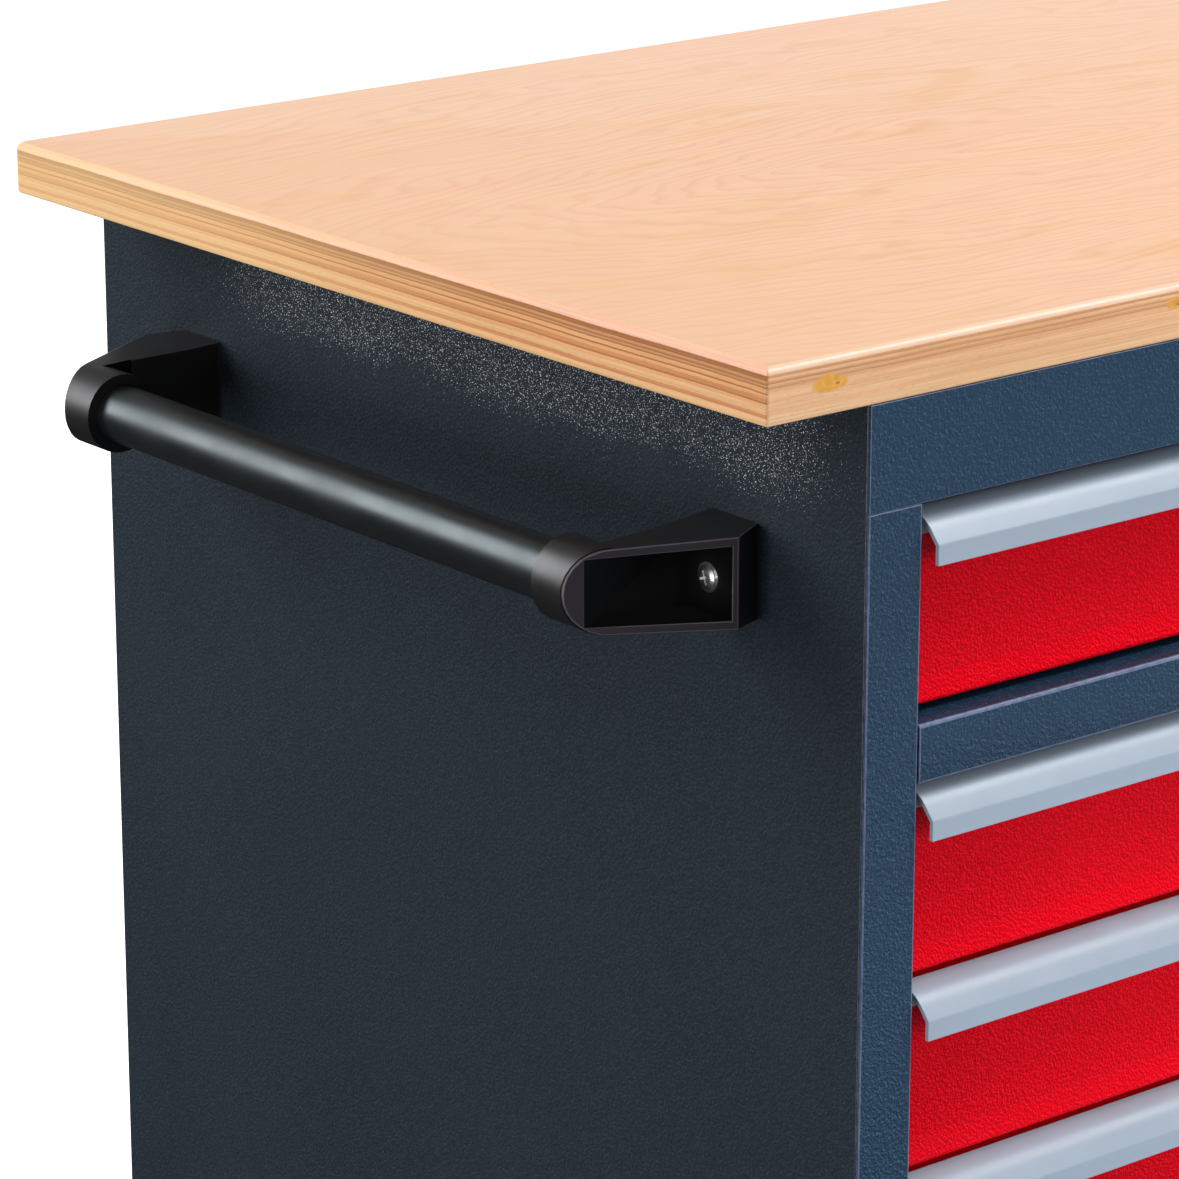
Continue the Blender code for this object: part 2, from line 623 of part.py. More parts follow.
def swivel_castor(side, x, y):
    """A swivel castor at rest, with its wheel trailing towards -X, and a total lock pedal behind the wheel."""
    steel = ("zinc_plated_steel", STEEL)
    plate_bottom = CASTOR_HEIGHT - GAP - PLATE_THICK
    race_bottom = plate_bottom - RACE_HEIGHT
    crown_top = race_bottom - RACE_GAP
    crown_bottom = crown_top - CROWN_THICK
    rivet_bottom, rivet_top = crown_bottom - RACE_GAP - RIVET_HEIGHT, crown_bottom - RACE_GAP
    name = f"castor_plate_{side}"
    top_plate = plate(name, (x, y), steel)
    race = cylinder(name + "_race", RACE_RADIUS, (x, y, race_bottom), (x, y, plate_bottom + PAST))
    pin = cylinder(name + "_kingpin", KINGPIN_RADIUS, (x, y, crown_bottom - RIVET_HEIGHT), (x, y, race_bottom + PAST))
    rivet = cylinder(name + "_rivet", RIVET_RADIUS, (x, y, rivet_bottom), (x, y, rivet_top))
    join(top_plate, race, pin, rivet)

    name = f"castor_fork_{side}"
    outline = leg_outline(x, -TRAIL, crown_top, *SWIVEL_LEG)
    first, second = legs(name, outline, y, steel)
    outer = FORK_HALF_GAP + FORK_SHEET
    crown_low, crown_high = (x - CROWN_BACK, y - outer, crown_bottom), (x + CROWN_FRONT, y + outer, crown_top)
    crown = box(name + "_crown", crown_low, crown_high)
    hole_low, hole_high = crown_bottom - TOOL_PAST, crown_top + TOOL_PAST
    hole = cylinder(name + "_hole", CROWN_HOLE_RADIUS, (x, y, hole_low), (x, y, hole_high))
    reach = outer + TOOL_PAST
    bore = AXLE_RADIUS + GAP
    centre = (x - TRAIL, WHEEL_RADIUS)
    axle_bore = cylinder(name + "_bore", bore, (centre[0], y - reach, centre[1]), (centre[0], y + reach, centre[1]))
    px, pz = x + PEDAL_PIVOT[0], PEDAL_PIVOT[1]
    pin_bore = cylinder(name + "_pin_bore", PEDAL_PIN_RADIUS + GAP, (px, y - reach, pz), (px, y + reach, pz))
    join(first, crown, second)
    cut(first, hole, axle_bore, pin_bore)

    swivel = empty(f"castor_swivel_{side}", (x, y, plate_bottom))
    spin = empty(f"wheel_spin_{side}", (centre[0], y, centre[1]))
    attach(swivel, first, axle(f"axle_{side}", (centre[0], y, centre[1])), spin)
    attach(spin, wheel(f"wheel_{side}", (centre[0], y, centre[1])))
    lever = brake_pedal(side, px, y, pz)
    tilt = empty(f"pedal_tilt_{side}", (px, y, pz))
    attach(tilt, lever)
    attach(swivel, tilt)


def brake_pedal(side, x, y, z):
    """A pressed lever on a cross pin, with a broad tread that a foot pushes down."""
    name = f"brake_pedal_{side}"
    outline = sheet_outline([(x + along, z + up) for along, up in PEDAL_PATH], PEDAL_SHEET)
    lever = extrusion(name, outline, "XZ", y - PEDAL_HALF_WIDTH, y + PEDAL_HALF_WIDTH, ("black_nylon", BLACK))
    reach = FORK_HALF_GAP + FORK_SHEET + PEDAL_PIN_OUT
    return join(lever, cylinder(name + "_pin", PEDAL_PIN_RADIUS, (x, y - reach, z), (x, y + reach, z), segments=16))


def castors():
    left, right = LEFT + CASTOR_INSET[0], RIGHT - CASTOR_INSET[0]
    for row, y in (("front", FRONT + CASTOR_INSET[1]), ("rear", BACK - CASTOR_INSET[1])):
        swivel_castor(f"left_{row}", left, y)
        fixed_castor(f"right_{row}", right, y)


clear_scene()
PARTS = new_collection("mobile_workbench")
CUTTERS = new_collection("cutters")
worktop()
side_panels()
cabinet_panels()
front_frame()
SLIDE_EMPTIES = {
    number: empty(f"slide_{number}", (CENTRE_X, FRONT + SLIDE_START, slide_height(level)))
    for number, level in enumerate(drawer_levels(), 1)
}
slides("left", LEFT, 1)
slides("right", RIGHT, -1)
drawers()
push_bar()
castors()
for part in PARTS.objects:
    if part.type == "MESH":
        part.data.shade_smooth()
        part.data.set_sharp_from_angle(angle=math.radians(30))
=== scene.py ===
"""The looks of a mobile workbench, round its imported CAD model. Metres, +Z up, in the model's own frame."""

import json
import math

import bmesh
import bpy
from mathutils import Matrix, Vector
from mathutils.bvhtree import BVHTree


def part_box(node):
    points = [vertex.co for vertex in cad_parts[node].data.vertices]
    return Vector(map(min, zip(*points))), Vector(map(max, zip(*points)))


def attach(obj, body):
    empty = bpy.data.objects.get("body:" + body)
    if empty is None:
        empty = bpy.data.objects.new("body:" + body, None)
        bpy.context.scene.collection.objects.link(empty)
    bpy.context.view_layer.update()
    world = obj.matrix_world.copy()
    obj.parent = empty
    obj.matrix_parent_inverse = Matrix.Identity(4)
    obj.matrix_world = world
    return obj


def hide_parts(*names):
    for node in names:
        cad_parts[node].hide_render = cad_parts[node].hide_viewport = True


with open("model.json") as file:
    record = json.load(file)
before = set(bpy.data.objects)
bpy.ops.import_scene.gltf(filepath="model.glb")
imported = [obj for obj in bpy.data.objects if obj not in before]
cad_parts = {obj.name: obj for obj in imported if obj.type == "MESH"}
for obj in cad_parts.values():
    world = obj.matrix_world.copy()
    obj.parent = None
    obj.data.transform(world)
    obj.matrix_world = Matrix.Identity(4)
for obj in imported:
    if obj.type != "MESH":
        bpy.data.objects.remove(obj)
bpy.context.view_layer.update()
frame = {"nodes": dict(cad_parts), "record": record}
NODES = frame["nodes"]
RECORD = frame["record"]
BODY_OF = {node: body for body, nodes in RECORD["behaviour"]["bodies"].items() for node in nodes}

MM = 0.001

# Places read from the model
TOP_LOW, TOP_HIGH = (Vector(corner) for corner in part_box("worktop"))
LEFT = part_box("side_panel_left")[0].x
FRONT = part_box("stile_left")[0].y
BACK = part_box("back_panel")[1].y
UNDER = TOP_LOW.z
# The corner where the left panel, the front plane and the worktop's underside meet
CORNER = Vector((LEFT, FRONT, UNDER))
DRAWERS = range(1, 6)
ROWS = ("front", "rear")
SIDES = ("left", "right")

# The camera, from that corner
CAMERA_FROM_CORNER = Vector((-1.504, -1.666, 0.599))
CAMERA_YAW = math.radians(38.68)
CAMERA_PITCH = math.radians(17.11)
CAMERA_LENS = 150.3
SENSOR_WIDTH = 36

ALONG_Y = (0, 1, 0)


def linear(red, green, blue):
    """A colour given as it looks on a screen, 0 to 255, as the linear values that a shader takes."""
    shares = (red / 255, green / 255, blue / 255)
    return tuple(((v + 0.055) / 1.055) ** 2.4 if v > 10 / 255 else v / 12.92 for v in shares)


# ---------------------------------------------------------------- shader building blocks


def new_material(name, colour, roughness, metallic, specular):
    """The material, its node tree and its shader."""
    material = bpy.data.materials.new(name)
    material.use_nodes = True
    shader = material.node_tree.nodes["Principled BSDF"]
    shader.inputs["Base Color"].default_value = (*colour, 1)
    shader.inputs["Roughness"].default_value = roughness
    shader.inputs["Metallic"].default_value = metallic
    shader.inputs["Specular IOR Level"].default_value = specular
    return material, material.node_tree, shader


def place(tree, scale=(1, 1, 1), offset=(0, 0, 0), turn=(0, 0, 0)):
    """Object coordinates, which are the model's own metres, turned, stretched and moved."""
    coordinates = tree.nodes.new("ShaderNodeTexCoord")
    mapping = tree.nodes.new("ShaderNodeMapping")
    mapping.inputs["Scale"].default_value = scale
    mapping.inputs["Location"].default_value = offset
    mapping.inputs["Rotation"].default_value = turn
    tree.links.new(coordinates.outputs["Object"], mapping.inputs["Vector"])
    return mapping.outputs["Vector"]


def noise(tree, vector, scale, detail=2.0, roughness=0.5, distortion=0.0):
    node = tree.nodes.new("ShaderNodeTexNoise")
    node.inputs["Scale"].default_value = scale
    node.inputs["Detail"].default_value = detail
    node.inputs["Roughness"].default_value = roughness
    node.inputs["Distortion"].default_value = distortion
    tree.links.new(vector, node.inputs["Vector"])
    return node.outputs["Fac"]


def ramp(tree, factor, stops, interpolation="LINEAR"):
    """A colour ramp. Each stop is (position, colour), where a colour may be one grey number."""
    node = tree.nodes.new("ShaderNodeValToRGB")
    node.color_ramp.interpolation = interpolation
    elements = node.color_ramp.elements
    while len(elements) < len(stops):
        elements.new(0.5)
    for element, (position, colour) in zip(elements, stops):
        element.position = position
        element.color = (*colour, 1) if isinstance(colour, tuple) else (colour, colour, colour, 1)
    tree.links.new(factor, node.inputs["Fac"])
    return node.outputs["Color"]


def feed(tree, socket, value):
    """Links an output socket to this input, or sets a colour or a number on it."""
    if isinstance(value, bpy.types.NodeSocket):
        tree.links.new(value, socket)
    elif isinstance(value, tuple):
        socket.default_value = (*value, 1)
    else:
        socket.default_value = value


def mix(tree, factor, first, second, blend="MIX"):
    """Mixes two colours. Each input is an output socket, a number for the factor, or a colour."""
    node = tree.nodes.new("ShaderNodeMix")
    node.data_type = "RGBA"
    node.blend_type = blend
    for index, value in ((0, factor), (6, first), (7, second)):
        feed(tree, node.inputs[index], value)
    return node.outputs[2]


def maths(tree, operation, first, second):
    node = tree.nodes.new("ShaderNodeMath")
    node.operation = operation
    feed(tree, node.inputs[0], first)
    feed(tree, node.inputs[1], second)
    return node.outputs[0]


def between(tree, value, low, high, out_low=0.0, out_high=1.0):
    """A smooth step from out_low to out_high as value goes from low to high."""
    node = tree.nodes.new("ShaderNodeMapRange")
    node.interpolation_type = "SMOOTHSTEP"
    for index, number in enumerate((value, low, high, out_low, out_high)):
        feed(tree, node.inputs[index], number)
    return node.outputs[0]


def axes(tree, vector):
    node = tree.nodes.new("ShaderNodeSeparateXYZ")
    tree.links.new(vector, node.inputs[0])
    return node.outputs


def multiplied(tree, first, second):
    return maths(tree, "MULTIPLY", first, second)


def tinted(tree, colour, shade):
    """The colour times the shade."""
    return mix(tree, 1.0, colour, shade, "MULTIPLY")


def bump(tree, height, distance):
    """distance is the height in metres that a step of 1 in the height input stands for."""
    node = tree.nodes.new("ShaderNodeBump")
    node.inputs["Strength"].default_value = 1.0
    node.inputs["Distance"].default_value = distance
    tree.links.new(height, node.inputs["Height"])
    return node.outputs["Normal"]


# ---------------------------------------------------------------- materials

# The wrinkles less a copy of them this far off give the side of each that the light falls on, for painted
# light and shade
LIT_OFFSET = (0.35 * MM, 0.2 * MM, 0.45 * MM)
PEEL_FINENESS = 2.4
PEEL_HEIGHT = 0.3


def powder_coat(name, colour, crest, roughness, specular, grain=680, depth=0.5 * MM, extra=None):
    """A textured powder coat: close leathery wrinkles with finer orange peel on them, and painted light and
    shade on the wrinkles.
    """
    material, tree, shader = new_material(name, colour, roughness, 0.0, specular)
    vector = place(tree)
    wrinkles = noise(tree, vector, grain, detail=1.0, distortion=0.4)
    beside = noise(tree, place(tree, offset=LIT_OFFSET), grain, detail=1.0, distortion=0.4)
    lit_side = maths(tree, "SUBTRACT", wrinkles, beside)
    peel = noise(tree, vector, grain * PEEL_FINENESS, detail=1.0)
    relief = maths(tree, "ADD", wrinkles, multiplied(tree, peel, PEEL_HEIGHT))
    patches = ramp(tree, noise(tree, vector, 6, detail=3.0), [(0.3, 0.92), (0.7, 1.06)])
    # Painted light and shade: each wrinkle's lit side is painted paler, its other side darker
    painted_relief_light_and_shade = between(tree, lit_side, -0.17, 0.15, 0.76, 1.12)
    shade = tinted(tree, colour, multiplied(tree, patches, painted_relief_light_and_shade))
    # The crest colour is a painted highlight on the wrinkles' lit sides
    shade = mix(tree, between(tree, lit_side, 0.07, 0.2, 0.0, 0.7), shade, crest)
    if extra:
        shade = extra(tree, vector, shade)
    tree.links.new(shade, shader.inputs["Base Color"])
    gloss = ramp(tree, peel, [(0.3, roughness - 0.08), (0.7, roughness + 0.1)])
    tree.links.new(gloss, shader.inputs["Roughness"])
    tree.links.new(bump(tree, relief, depth), shader.inputs["Normal"])
    return material


# The colour of the painted glints: painted highlights on the side panel
PAINTED_GLINT_COLOUR = (0.74, 0.77, 0.80)
SEAM = linear(120, 124, 118)
# The painted glints, painted highlights, thin out from the first of these depths under the worktop to the
# second, with a ragged border.
# They begin and are full this far from the panel's front edge, and from its back edge.
GLINTS_FULL, GLINTS_END = 50 * MM, 104 * MM
GLINTS_RAGGED = 26 * MM
FRONT_FADE = (2 * MM, 70 * MM)
BACK_FADE = (15 * MM, 200 * MM)


def panel_painted_glints_and_seam(tree, vector, shade):
    """Painted glints, that is painted highlights, under the worktop's overhang, fading towards both ends,
    and worn dots down the front seam.
    """
    x, y, z = axes(tree, vector)
    ragged = multiplied(tree, noise(tree, vector, 26), GLINTS_RAGGED)
    below = maths(tree, "ADD", maths(tree, "SUBTRACT", UNDER, z), ragged)
    share = between(tree, below, GLINTS_END, GLINTS_FULL)
    share = multiplied(tree, share, between(tree, y, FRONT + FRONT_FADE[0], FRONT + FRONT_FADE[1], 0.45))
    share = multiplied(tree, share, between(tree, y, BACK - BACK_FADE[0], BACK - BACK_FADE[1]))
    specks = noise(tree, place(tree, (960, 960, 1400), turn=(0.5, 0, 0)), 1.0, detail=1.0, roughness=0.6)
    threshold = between(tree, share, 0.0, 1.0, 0.82, 0.60)
    glints = between(tree, maths(tree, "SUBTRACT", specks, threshold), 0.0, 0.10)
    outer_side = between(tree, x, LEFT + 1.5 * MM, LEFT + 1.2 * MM)
    shade = mix(tree, multiplied(tree, glints, outer_side), shade, PAINTED_GLINT_COLOUR)
    seam = multiplied(tree, outer_side, between(tree, y, FRONT + 1.3 * MM, FRONT + 0.7 * MM))
    dots = between(tree, noise(tree, place(tree, (0, 0, 480)), 1.0), 0.52, 0.62, 0.0, 0.8)
    return mix(tree, multiplied(tree, seam, dots), shade, SEAM)


PLY_DARK = linear(170, 108, 62)
PLY_BROWN = linear(180, 120, 74)
PLY_TAN = linear(208, 152, 102)
PLY_ORANGE = linear(212, 144, 94)
PLY_GOLD = linear(234, 174, 118)
PLY_STRAW = linear(236, 188, 136)
PLY_PINK = linear(240, 184, 152)
# The plies from the top face down: thickness in mm, and the colour that shows on the board's two ends
END_PLIES = (
    (3.5, PLY_PINK),
    (1.1, PLY_DARK),
    (0.5, PLY_BROWN),
    (0.7, PLY_DARK),
    (1.4, PLY_TAN),
    (0.8, PLY_BROWN),
    (0.8, PLY_TAN),
    (0.9, PLY_BROWN),
    (2.0, PLY_GOLD),
    (0.8, PLY_BROWN),
    (1.7, PLY_GOLD),
    (2.0, PLY_ORANGE),
    (0.9, PLY_BROWN),
    (1.9, PLY_GOLD),
    (3.0, PLY_STRAW),
    (2.1, PLY_ORANGE),
    (3.9, PLY_STRAW),
)
EDGE_PEACH = linear(246, 196, 150)
EDGE_ROSE = linear(240, 184, 138)
EDGE_BROWN = linear(216, 156, 108)
EDGE_SAND = linear(244, 198, 152)
# The same, as the softer stripes of the long edges
FRONT_PLIES = (
    (4.4, EDGE_PEACH),
    (0.7, EDGE_BROWN),
    (2.2, EDGE_PEACH),
    (0.7, EDGE_BROWN),
    (1.6, EDGE_ROSE),
    (0.8, EDGE_BROWN),
    (3.0, EDGE_ROSE),
    (3.4, EDGE_PEACH),
    (0.8, EDGE_ROSE),
    (4.2, EDGE_SAND),
    (0.6, EDGE_ROSE),
    (5.6, EDGE_SAND),
)


def varnish(shader, weight, roughness):
    shader.inputs["Coat Weight"].default_value = weight
    shader.inputs["Coat Roughness"].default_value = roughness


def plies(tree, vector, layers, interpolation):
    """The layers' colours down the board's edge, with slightly wavy glue lines."""
    down = maths(tree, "SUBTRACT", TOP_HIGH.z, axes(tree, vector)[2])
    wave = maths(tree, "SUBTRACT", noise(tree, vector, 9), 0.5)
    fine = maths(tree, "SUBTRACT", noise(tree, vector, 160), 0.5)
    down = maths(tree, "ADD", down, multiplied(tree, wave, 1.6 * MM))
    down = maths(tree, "ADD", down, multiplied(tree, fine, 0.45 * MM))
    thick = sum(layer for layer, _ in layers)
    share = maths(tree, "DIVIDE", down, TOP_HIGH.z - TOP_LOW.z)
    stops, depth = [], 0.0
    for layer, colour in layers:
        stops.append((depth / thick, colour))
        depth += layer
    return ramp(tree, share, stops, interpolation)


# Yellow filler in the front edge: distance from the board's left end, distance below its top, and half sizes
FILLERS = (
    (0.038, 0.0128, 0.0118, 0.0046),
    (0.265, 0.0095, 0.006, 0.0030),
    (0.702, 0.0160, 0.010, 0.0040),
)
FILLER_STOPS = [(0.3, linear(224, 150, 42)), (0.7, linear(238, 176, 68))]
KNOT_BROWN = linear(146, 92, 40)
KNOT_HALF_X, KNOT_HALF_Z = 1.4 * MM, 0.6 * MM
KNOT_BELOW = 0.6 * MM


def oval(tree, x, z, centre_x, centre_z, half_x, half_z):
    """The squared distance from a centre, 1 on the oval with these half sizes."""
    across = maths(tree, "DIVIDE", maths(tree, "SUBTRACT", x, centre_x), half_x)
    down = maths(tree, "DIVIDE", maths(tree, "SUBTRACT", z, centre_z), half_z)
    return maths(tree, "ADD", multiplied(tree, across, across), multiplied(tree, down, down))


def filler(tree, vector, colour):
    """The filler patches, each with a small brown knot, on the colour of the front edge."""
    x, _, z = axes(tree, vector)
    uneven = maths(tree, "SUBTRACT", noise(tree, vector, 150, detail=3.0), 0.5)
    rough = multiplied(tree, uneven, 1.1)
    for along, below, half_x, half_z in FILLERS:
        centre_x, centre_z = TOP_LOW.x + along, TOP_HIGH.z - below
        patch = oval(tree, x, z, centre_x, centre_z, half_x, half_z)
        inside = between(tree, maths(tree, "ADD", patch, rough), 1.1, 0.5)
        tone = ramp(tree, noise(tree, vector, 240), FILLER_STOPS)
        colour = mix(tree, multiplied(tree, inside, 0.96), colour, tone)
        knot_x, knot_z = centre_x + half_x * 0.45, centre_z - KNOT_BELOW
        knot = oval(tree, x, z, knot_x, knot_z, KNOT_HALF_X, KNOT_HALF_Z)
        spot = between(tree, maths(tree, "ADD", knot, rough), 1.3, 0.4)
        colour = mix(tree, multiplied(tree, spot, 0.8), colour, KNOT_BROWN)
    return colour


# The shades that the fibres, the pores and a slow change of tone lay over the board's edge
EDGE_FIBRES = [(0.3, (0.84, 0.80, 0.76)), (0.62, 1.03)]
EDGE_PORES = [(0.25, 0.84), (0.4, 1.0)]
EDGE_TONES = [(0.35, (0.97, 0.93, 0.86)), (0.65, (1.03, 1.02, 1.02))]
END_PALE = linear(248, 214, 156)


def ply_edge(name, layers, along_x):
    """The board's edge. The left and right ends show strong stripes, the long edges soft ones."""
    material, tree, shader = new_material(name, EDGE_PEACH, 0.5, 0.0, 0.3)
    vector = place(tree)
    colour = plies(tree, vector, layers, "EASE" if along_x else "CONSTANT")
    stretch = (13, 600, 1100) if along_x else (600, 13, 1100)
    fibres = noise(tree, place(tree, stretch), 1.0, detail=3.0, roughness=0.65)
    pores = noise(tree, place(tree, (260, 260, 1300)), 1.0)
    colour = tinted(tree, colour, ramp(tree, fibres, EDGE_FIBRES))
    colour = tinted(tree, colour, ramp(tree, pores, EDGE_PORES))
    colour = tinted(tree, colour, ramp(tree, noise(tree, vector, 5), EDGE_TONES))
    if along_x:
        colour = filler(tree, vector, colour)
    else:
        paler = between(tree, axes(tree, vector)[1], FRONT + 0.1, BACK - 0.05, 0.0, 0.4)
        colour = mix(tree, paler, colour, END_PALE)
    tree.links.new(colour, shader.inputs["Base Color"])
    tree.links.new(bump(tree, fibres, 0.08 * MM), shader.inputs["Normal"])
    varnish(shader, 0.15, 0.35)
    return material


VENEER_PALE = linear(232, 188, 155)
VENEER_WARM = linear(229, 180, 137)
VENEER_PINK = linear(232, 181, 150)
# A painted highlight for the board's rounded arris
ARRIS_PAINTED_HIGHLIGHT = (0.95, 0.86, 0.78)
FIGURE_STOPS = [(0.3, VENEER_WARM), (0.5, VENEER_PALE), (0.72, VENEER_PINK)]
RING_STOPS = [(0.0, 1.0), (0.5, 0.99), (0.84, (0.92, 0.86, 0.82)), (1.0, 0.98)]
FIBRE_STOPS = [(0.25, (0.93, 0.9, 0.87)), (0.7, (1.02, 1.02, 1.02))]
FLECK_STOPS = [(0.22, 0.86), (0.34, 1.0)]
# The middle of the growth rings from the board's left end and the cabinet's front, and their stretch
FIGURE_CENTRE = (0.60, 0.36)
FIGURE_STRETCH = 3.4


def growth_rings(tree):
    """Long oval growth rings, bent by a slow noise, each with a sharp late edge."""
    centre_x, centre_y = TOP_LOW.x + FIGURE_CENTRE[0], FRONT + FIGURE_CENTRE[1]
    swirl = place(tree, (1.0, FIGURE_STRETCH, 1.0), (-centre_x, -centre_y * FIGURE_STRETCH, 0))
    bend = tree.nodes.new("ShaderNodeTexNoise")
    bend.inputs["Scale"].default_value = 3.2
    bend.inputs["Detail"].default_value = 3.0
    tree.links.new(swirl, bend.inputs["Vector"])
    shifted = tree.nodes.new("ShaderNodeVectorMath")
    shifted.operation = "MULTIPLY_ADD"
    tree.links.new(bend.outputs["Color"], shifted.inputs[0])
    shifted.inputs[1].default_value = (0.30, 0.42, 0)
    tree.links.new(swirl, shifted.inputs[2])
    wave = tree.nodes.new("ShaderNodeTexWave")
    wave.wave_type = "RINGS"
    wave.rings_direction = "Z"
    wave.wave_profile = "SAW"
    wave.inputs["Scale"].default_value = 11
    wave.inputs["Distortion"].default_value = 2.4
    wave.inputs["Detail"].default_value = 2.5
    wave.inputs["Detail Scale"].default_value = 1.4
    tree.links.new(shifted.outputs[0], wave.inputs["Vector"])
    return wave.outputs["Fac"]


def veneer(name, polish=0.3, paler=0.0):
    """The varnished birch face: a flowing figure and short fibre lines along X. polish is the varnish's;
    paler is the share of the pale arris colour, a painted highlight.
    """
    material, tree, shader = new_material(name, VENEER_PALE, 0.36, 0.0, 0.35)
    vector = place(tree)
    figure = noise(tree, place(tree, (5, 20, 5)), 1.0, detail=3.0, roughness=0.6, distortion=1.4)
    fibres = noise(tree, place(tree, (24, 950, 24)), 1.0, detail=3.0, roughness=0.65)
    flecks = noise(tree, place(tree, (70, 1500, 70)), 1.0, detail=1.0)
    colour = ramp(tree, figure, FIGURE_STOPS)
    colour = mix(tree, 0.9, colour, ramp(tree, growth_rings(tree), RING_STOPS), "MULTIPLY")
    colour = tinted(tree, colour, ramp(tree, fibres, FIBRE_STOPS))
    colour = tinted(tree, colour, ramp(tree, flecks, FLECK_STOPS))
    yellow = between(tree, axes(tree, vector)[0], TOP_LOW.x + 0.30, TOP_LOW.x - 0.05, 0.0, 0.4)
    colour = mix(tree, yellow, colour, VENEER_WARM)
    colour = mix(tree, paler, colour, ARRIS_PAINTED_HIGHLIGHT)
    tree.links.new(colour, shader.inputs["Base Color"])
    tree.links.new(ramp(tree, fibres, [(0.3, 0.30), (0.7, 0.44)]), shader.inputs["Roughness"])
    tree.links.new(bump(tree, fibres, 0.03 * MM), shader.inputs["Normal"])
    varnish(shader, polish, 0.22)
    return material


def satin(name, colour, roughness, specular=0.5, metallic=0.0, grain=0.015 * MM, variation=0.06):
    """A smooth painted, plated or moulded surface with slight mottling and fine grain."""
    material, tree, shader = new_material(name, colour, roughness, metallic, specular)
    vector = place(tree)
    mottle = noise(tree, vector, 24, detail=3.0)
    fine = noise(tree, vector, 1600)
    dark = tuple(v * (1 - variation) for v in colour)
    light = tuple(min(v * (1 + variation), 1) for v in colour)
    gloss = ramp(tree, mottle, [(0.3, roughness - 0.05), (0.7, roughness + 0.07)])
    tree.links.new(ramp(tree, mottle, [(0.3, dark), (0.7, light)]), shader.inputs["Base Color"])
    tree.links.new(gloss, shader.inputs["Roughness"])
    tree.links.new(bump(tree, fine, grain), shader.inputs["Normal"])
    return material


def rubbed_and_highlit(name, colour, worn):
    """The coat on a rounded edge, worn thin and paler in patches. Where its colour is paler than the coat,
    it is a painted highlight too.
    """
    material, tree, shader = new_material(name, colour, 0.32, 0.0, 0.35)
    patchy = between(tree, noise(tree, place(tree), 260, detail=3.0), 0.36, 0.6, 0.35)
    tree.links.new(mix(tree, patchy, colour, worn), shader.inputs["Base Color"])
    return material


ZINC_STOPS = [(0.25, (0.44, 0.47, 0.52)), (0.5, (0.54, 0.55, 0.56)), (0.75, (0.58, 0.55, 0.48))]


def zinc(name):
    """Zinc plated sheet: faint blue and yellow passivation clouds, and rolled streaks."""
    material, tree, shader = new_material(name, (0.6, 0.61, 0.62), 0.3, 1.0, 0.5)
    clouds = noise(tree, place(tree), 13, detail=3.0, roughness=0.55, distortion=0.8)
    streaks = noise(tree, place(tree, (30, 30, 900)), 1.0, detail=3.0)
    shade = tinted(tree, ramp(tree, clouds, ZINC_STOPS), ramp(tree, streaks, [(0.3, 0.96), (0.7, 1.0)]))
    tree.links.new(shade, shader.inputs["Base Color"])
    tree.links.new(ramp(tree, streaks, [(0.3, 0.36), (0.7, 0.44)]), shader.inputs["Roughness"])
    return material


# ---------------------------------------------------------------- shape building blocks

# Degrees: the least edge that gets a bevel, the greatest that is shaded smooth, and what joins into one face
BEVEL_ANGLE = 28
SMOOTH_ANGLE = 35
FACET_ANGLE = 0.6
# CAD points this close are one
MERGE = 0.002 * MM
# On the front frame points this close are one, so that the insides of its bends leave room for the bevel
BEND_MERGE = 0.6 * MM


def mesh_of(name, bm):
    """The bmesh as a named mesh. The bmesh is used up."""
    mesh = bpy.data.meshes.new(name)
    bm.to_mesh(mesh)
    bm.free()
    return mesh


def piece(name, mesh, body, materials, replaces=(), smooth=SMOOTH_ANGLE):
    """A finished piece on a body. materials is one material, or a list for the mesh's material indices."""
    if isinstance(mesh, bmesh.types.BMesh):
        mesh = mesh_of(name, mesh)
    obj = bpy.data.objects.new(name, mesh)
    bpy.context.scene.collection.objects.link(obj)
    for material in materials if isinstance(materials, list) else [materials]:
        mesh.materials.append(material)
    mesh.shade_smooth()
    mesh.set_sharp_from_angle(angle=math.radians(smooth))
    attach(obj, body)
    if replaces:
        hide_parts(*replaces)
    return obj


def bevelled(obj, width, segments, edge=None, limit="ANGLE"):
    """Rounds the sharp edges. edge is the material of the faces that this makes, if they have their own."""
    modifier = obj.modifiers.new("Soft edges", "BEVEL")
    modifier.width = width
    modifier.segments = segments
    modifier.limit_method = limit
    modifier.angle_limit = math.radians(BEVEL_ANGLE)
    modifier.harden_normals = limit == "ANGLE"
    if edge:
        obj.data.materials.append(edge)
        modifier.material = len(obj.data.materials) - 1
    return obj


def cleaned(node, merge=MERGE):
    """A CAD node's shape with its facets joined into clean faces, as a bmesh."""
    bm = bmesh.new()
    bm.from_mesh(NODES[node].data)
    bmesh.ops.remove_doubles(bm, verts=bm.verts, dist=merge)
    facet = math.radians(FACET_ANGLE)
    bmesh.ops.dissolve_limit(
        bm, angle_limit=facet, use_dissolve_boundaries=False, verts=bm.verts, edges=bm.edges
    )
    return bm


def refined(node, material, width, segments=3, edge=None, merge=MERGE):
    """A CAD node's shape with clean faces and rounded edges."""
    bm = cleaned(node, merge)
    obj = piece(node + "_finished", bm, BODY_OF[node], material, (node,))
    return bevelled(obj, width, segments, edge)


def left_of(direction):
    return Vector((-direction.y, direction.x))


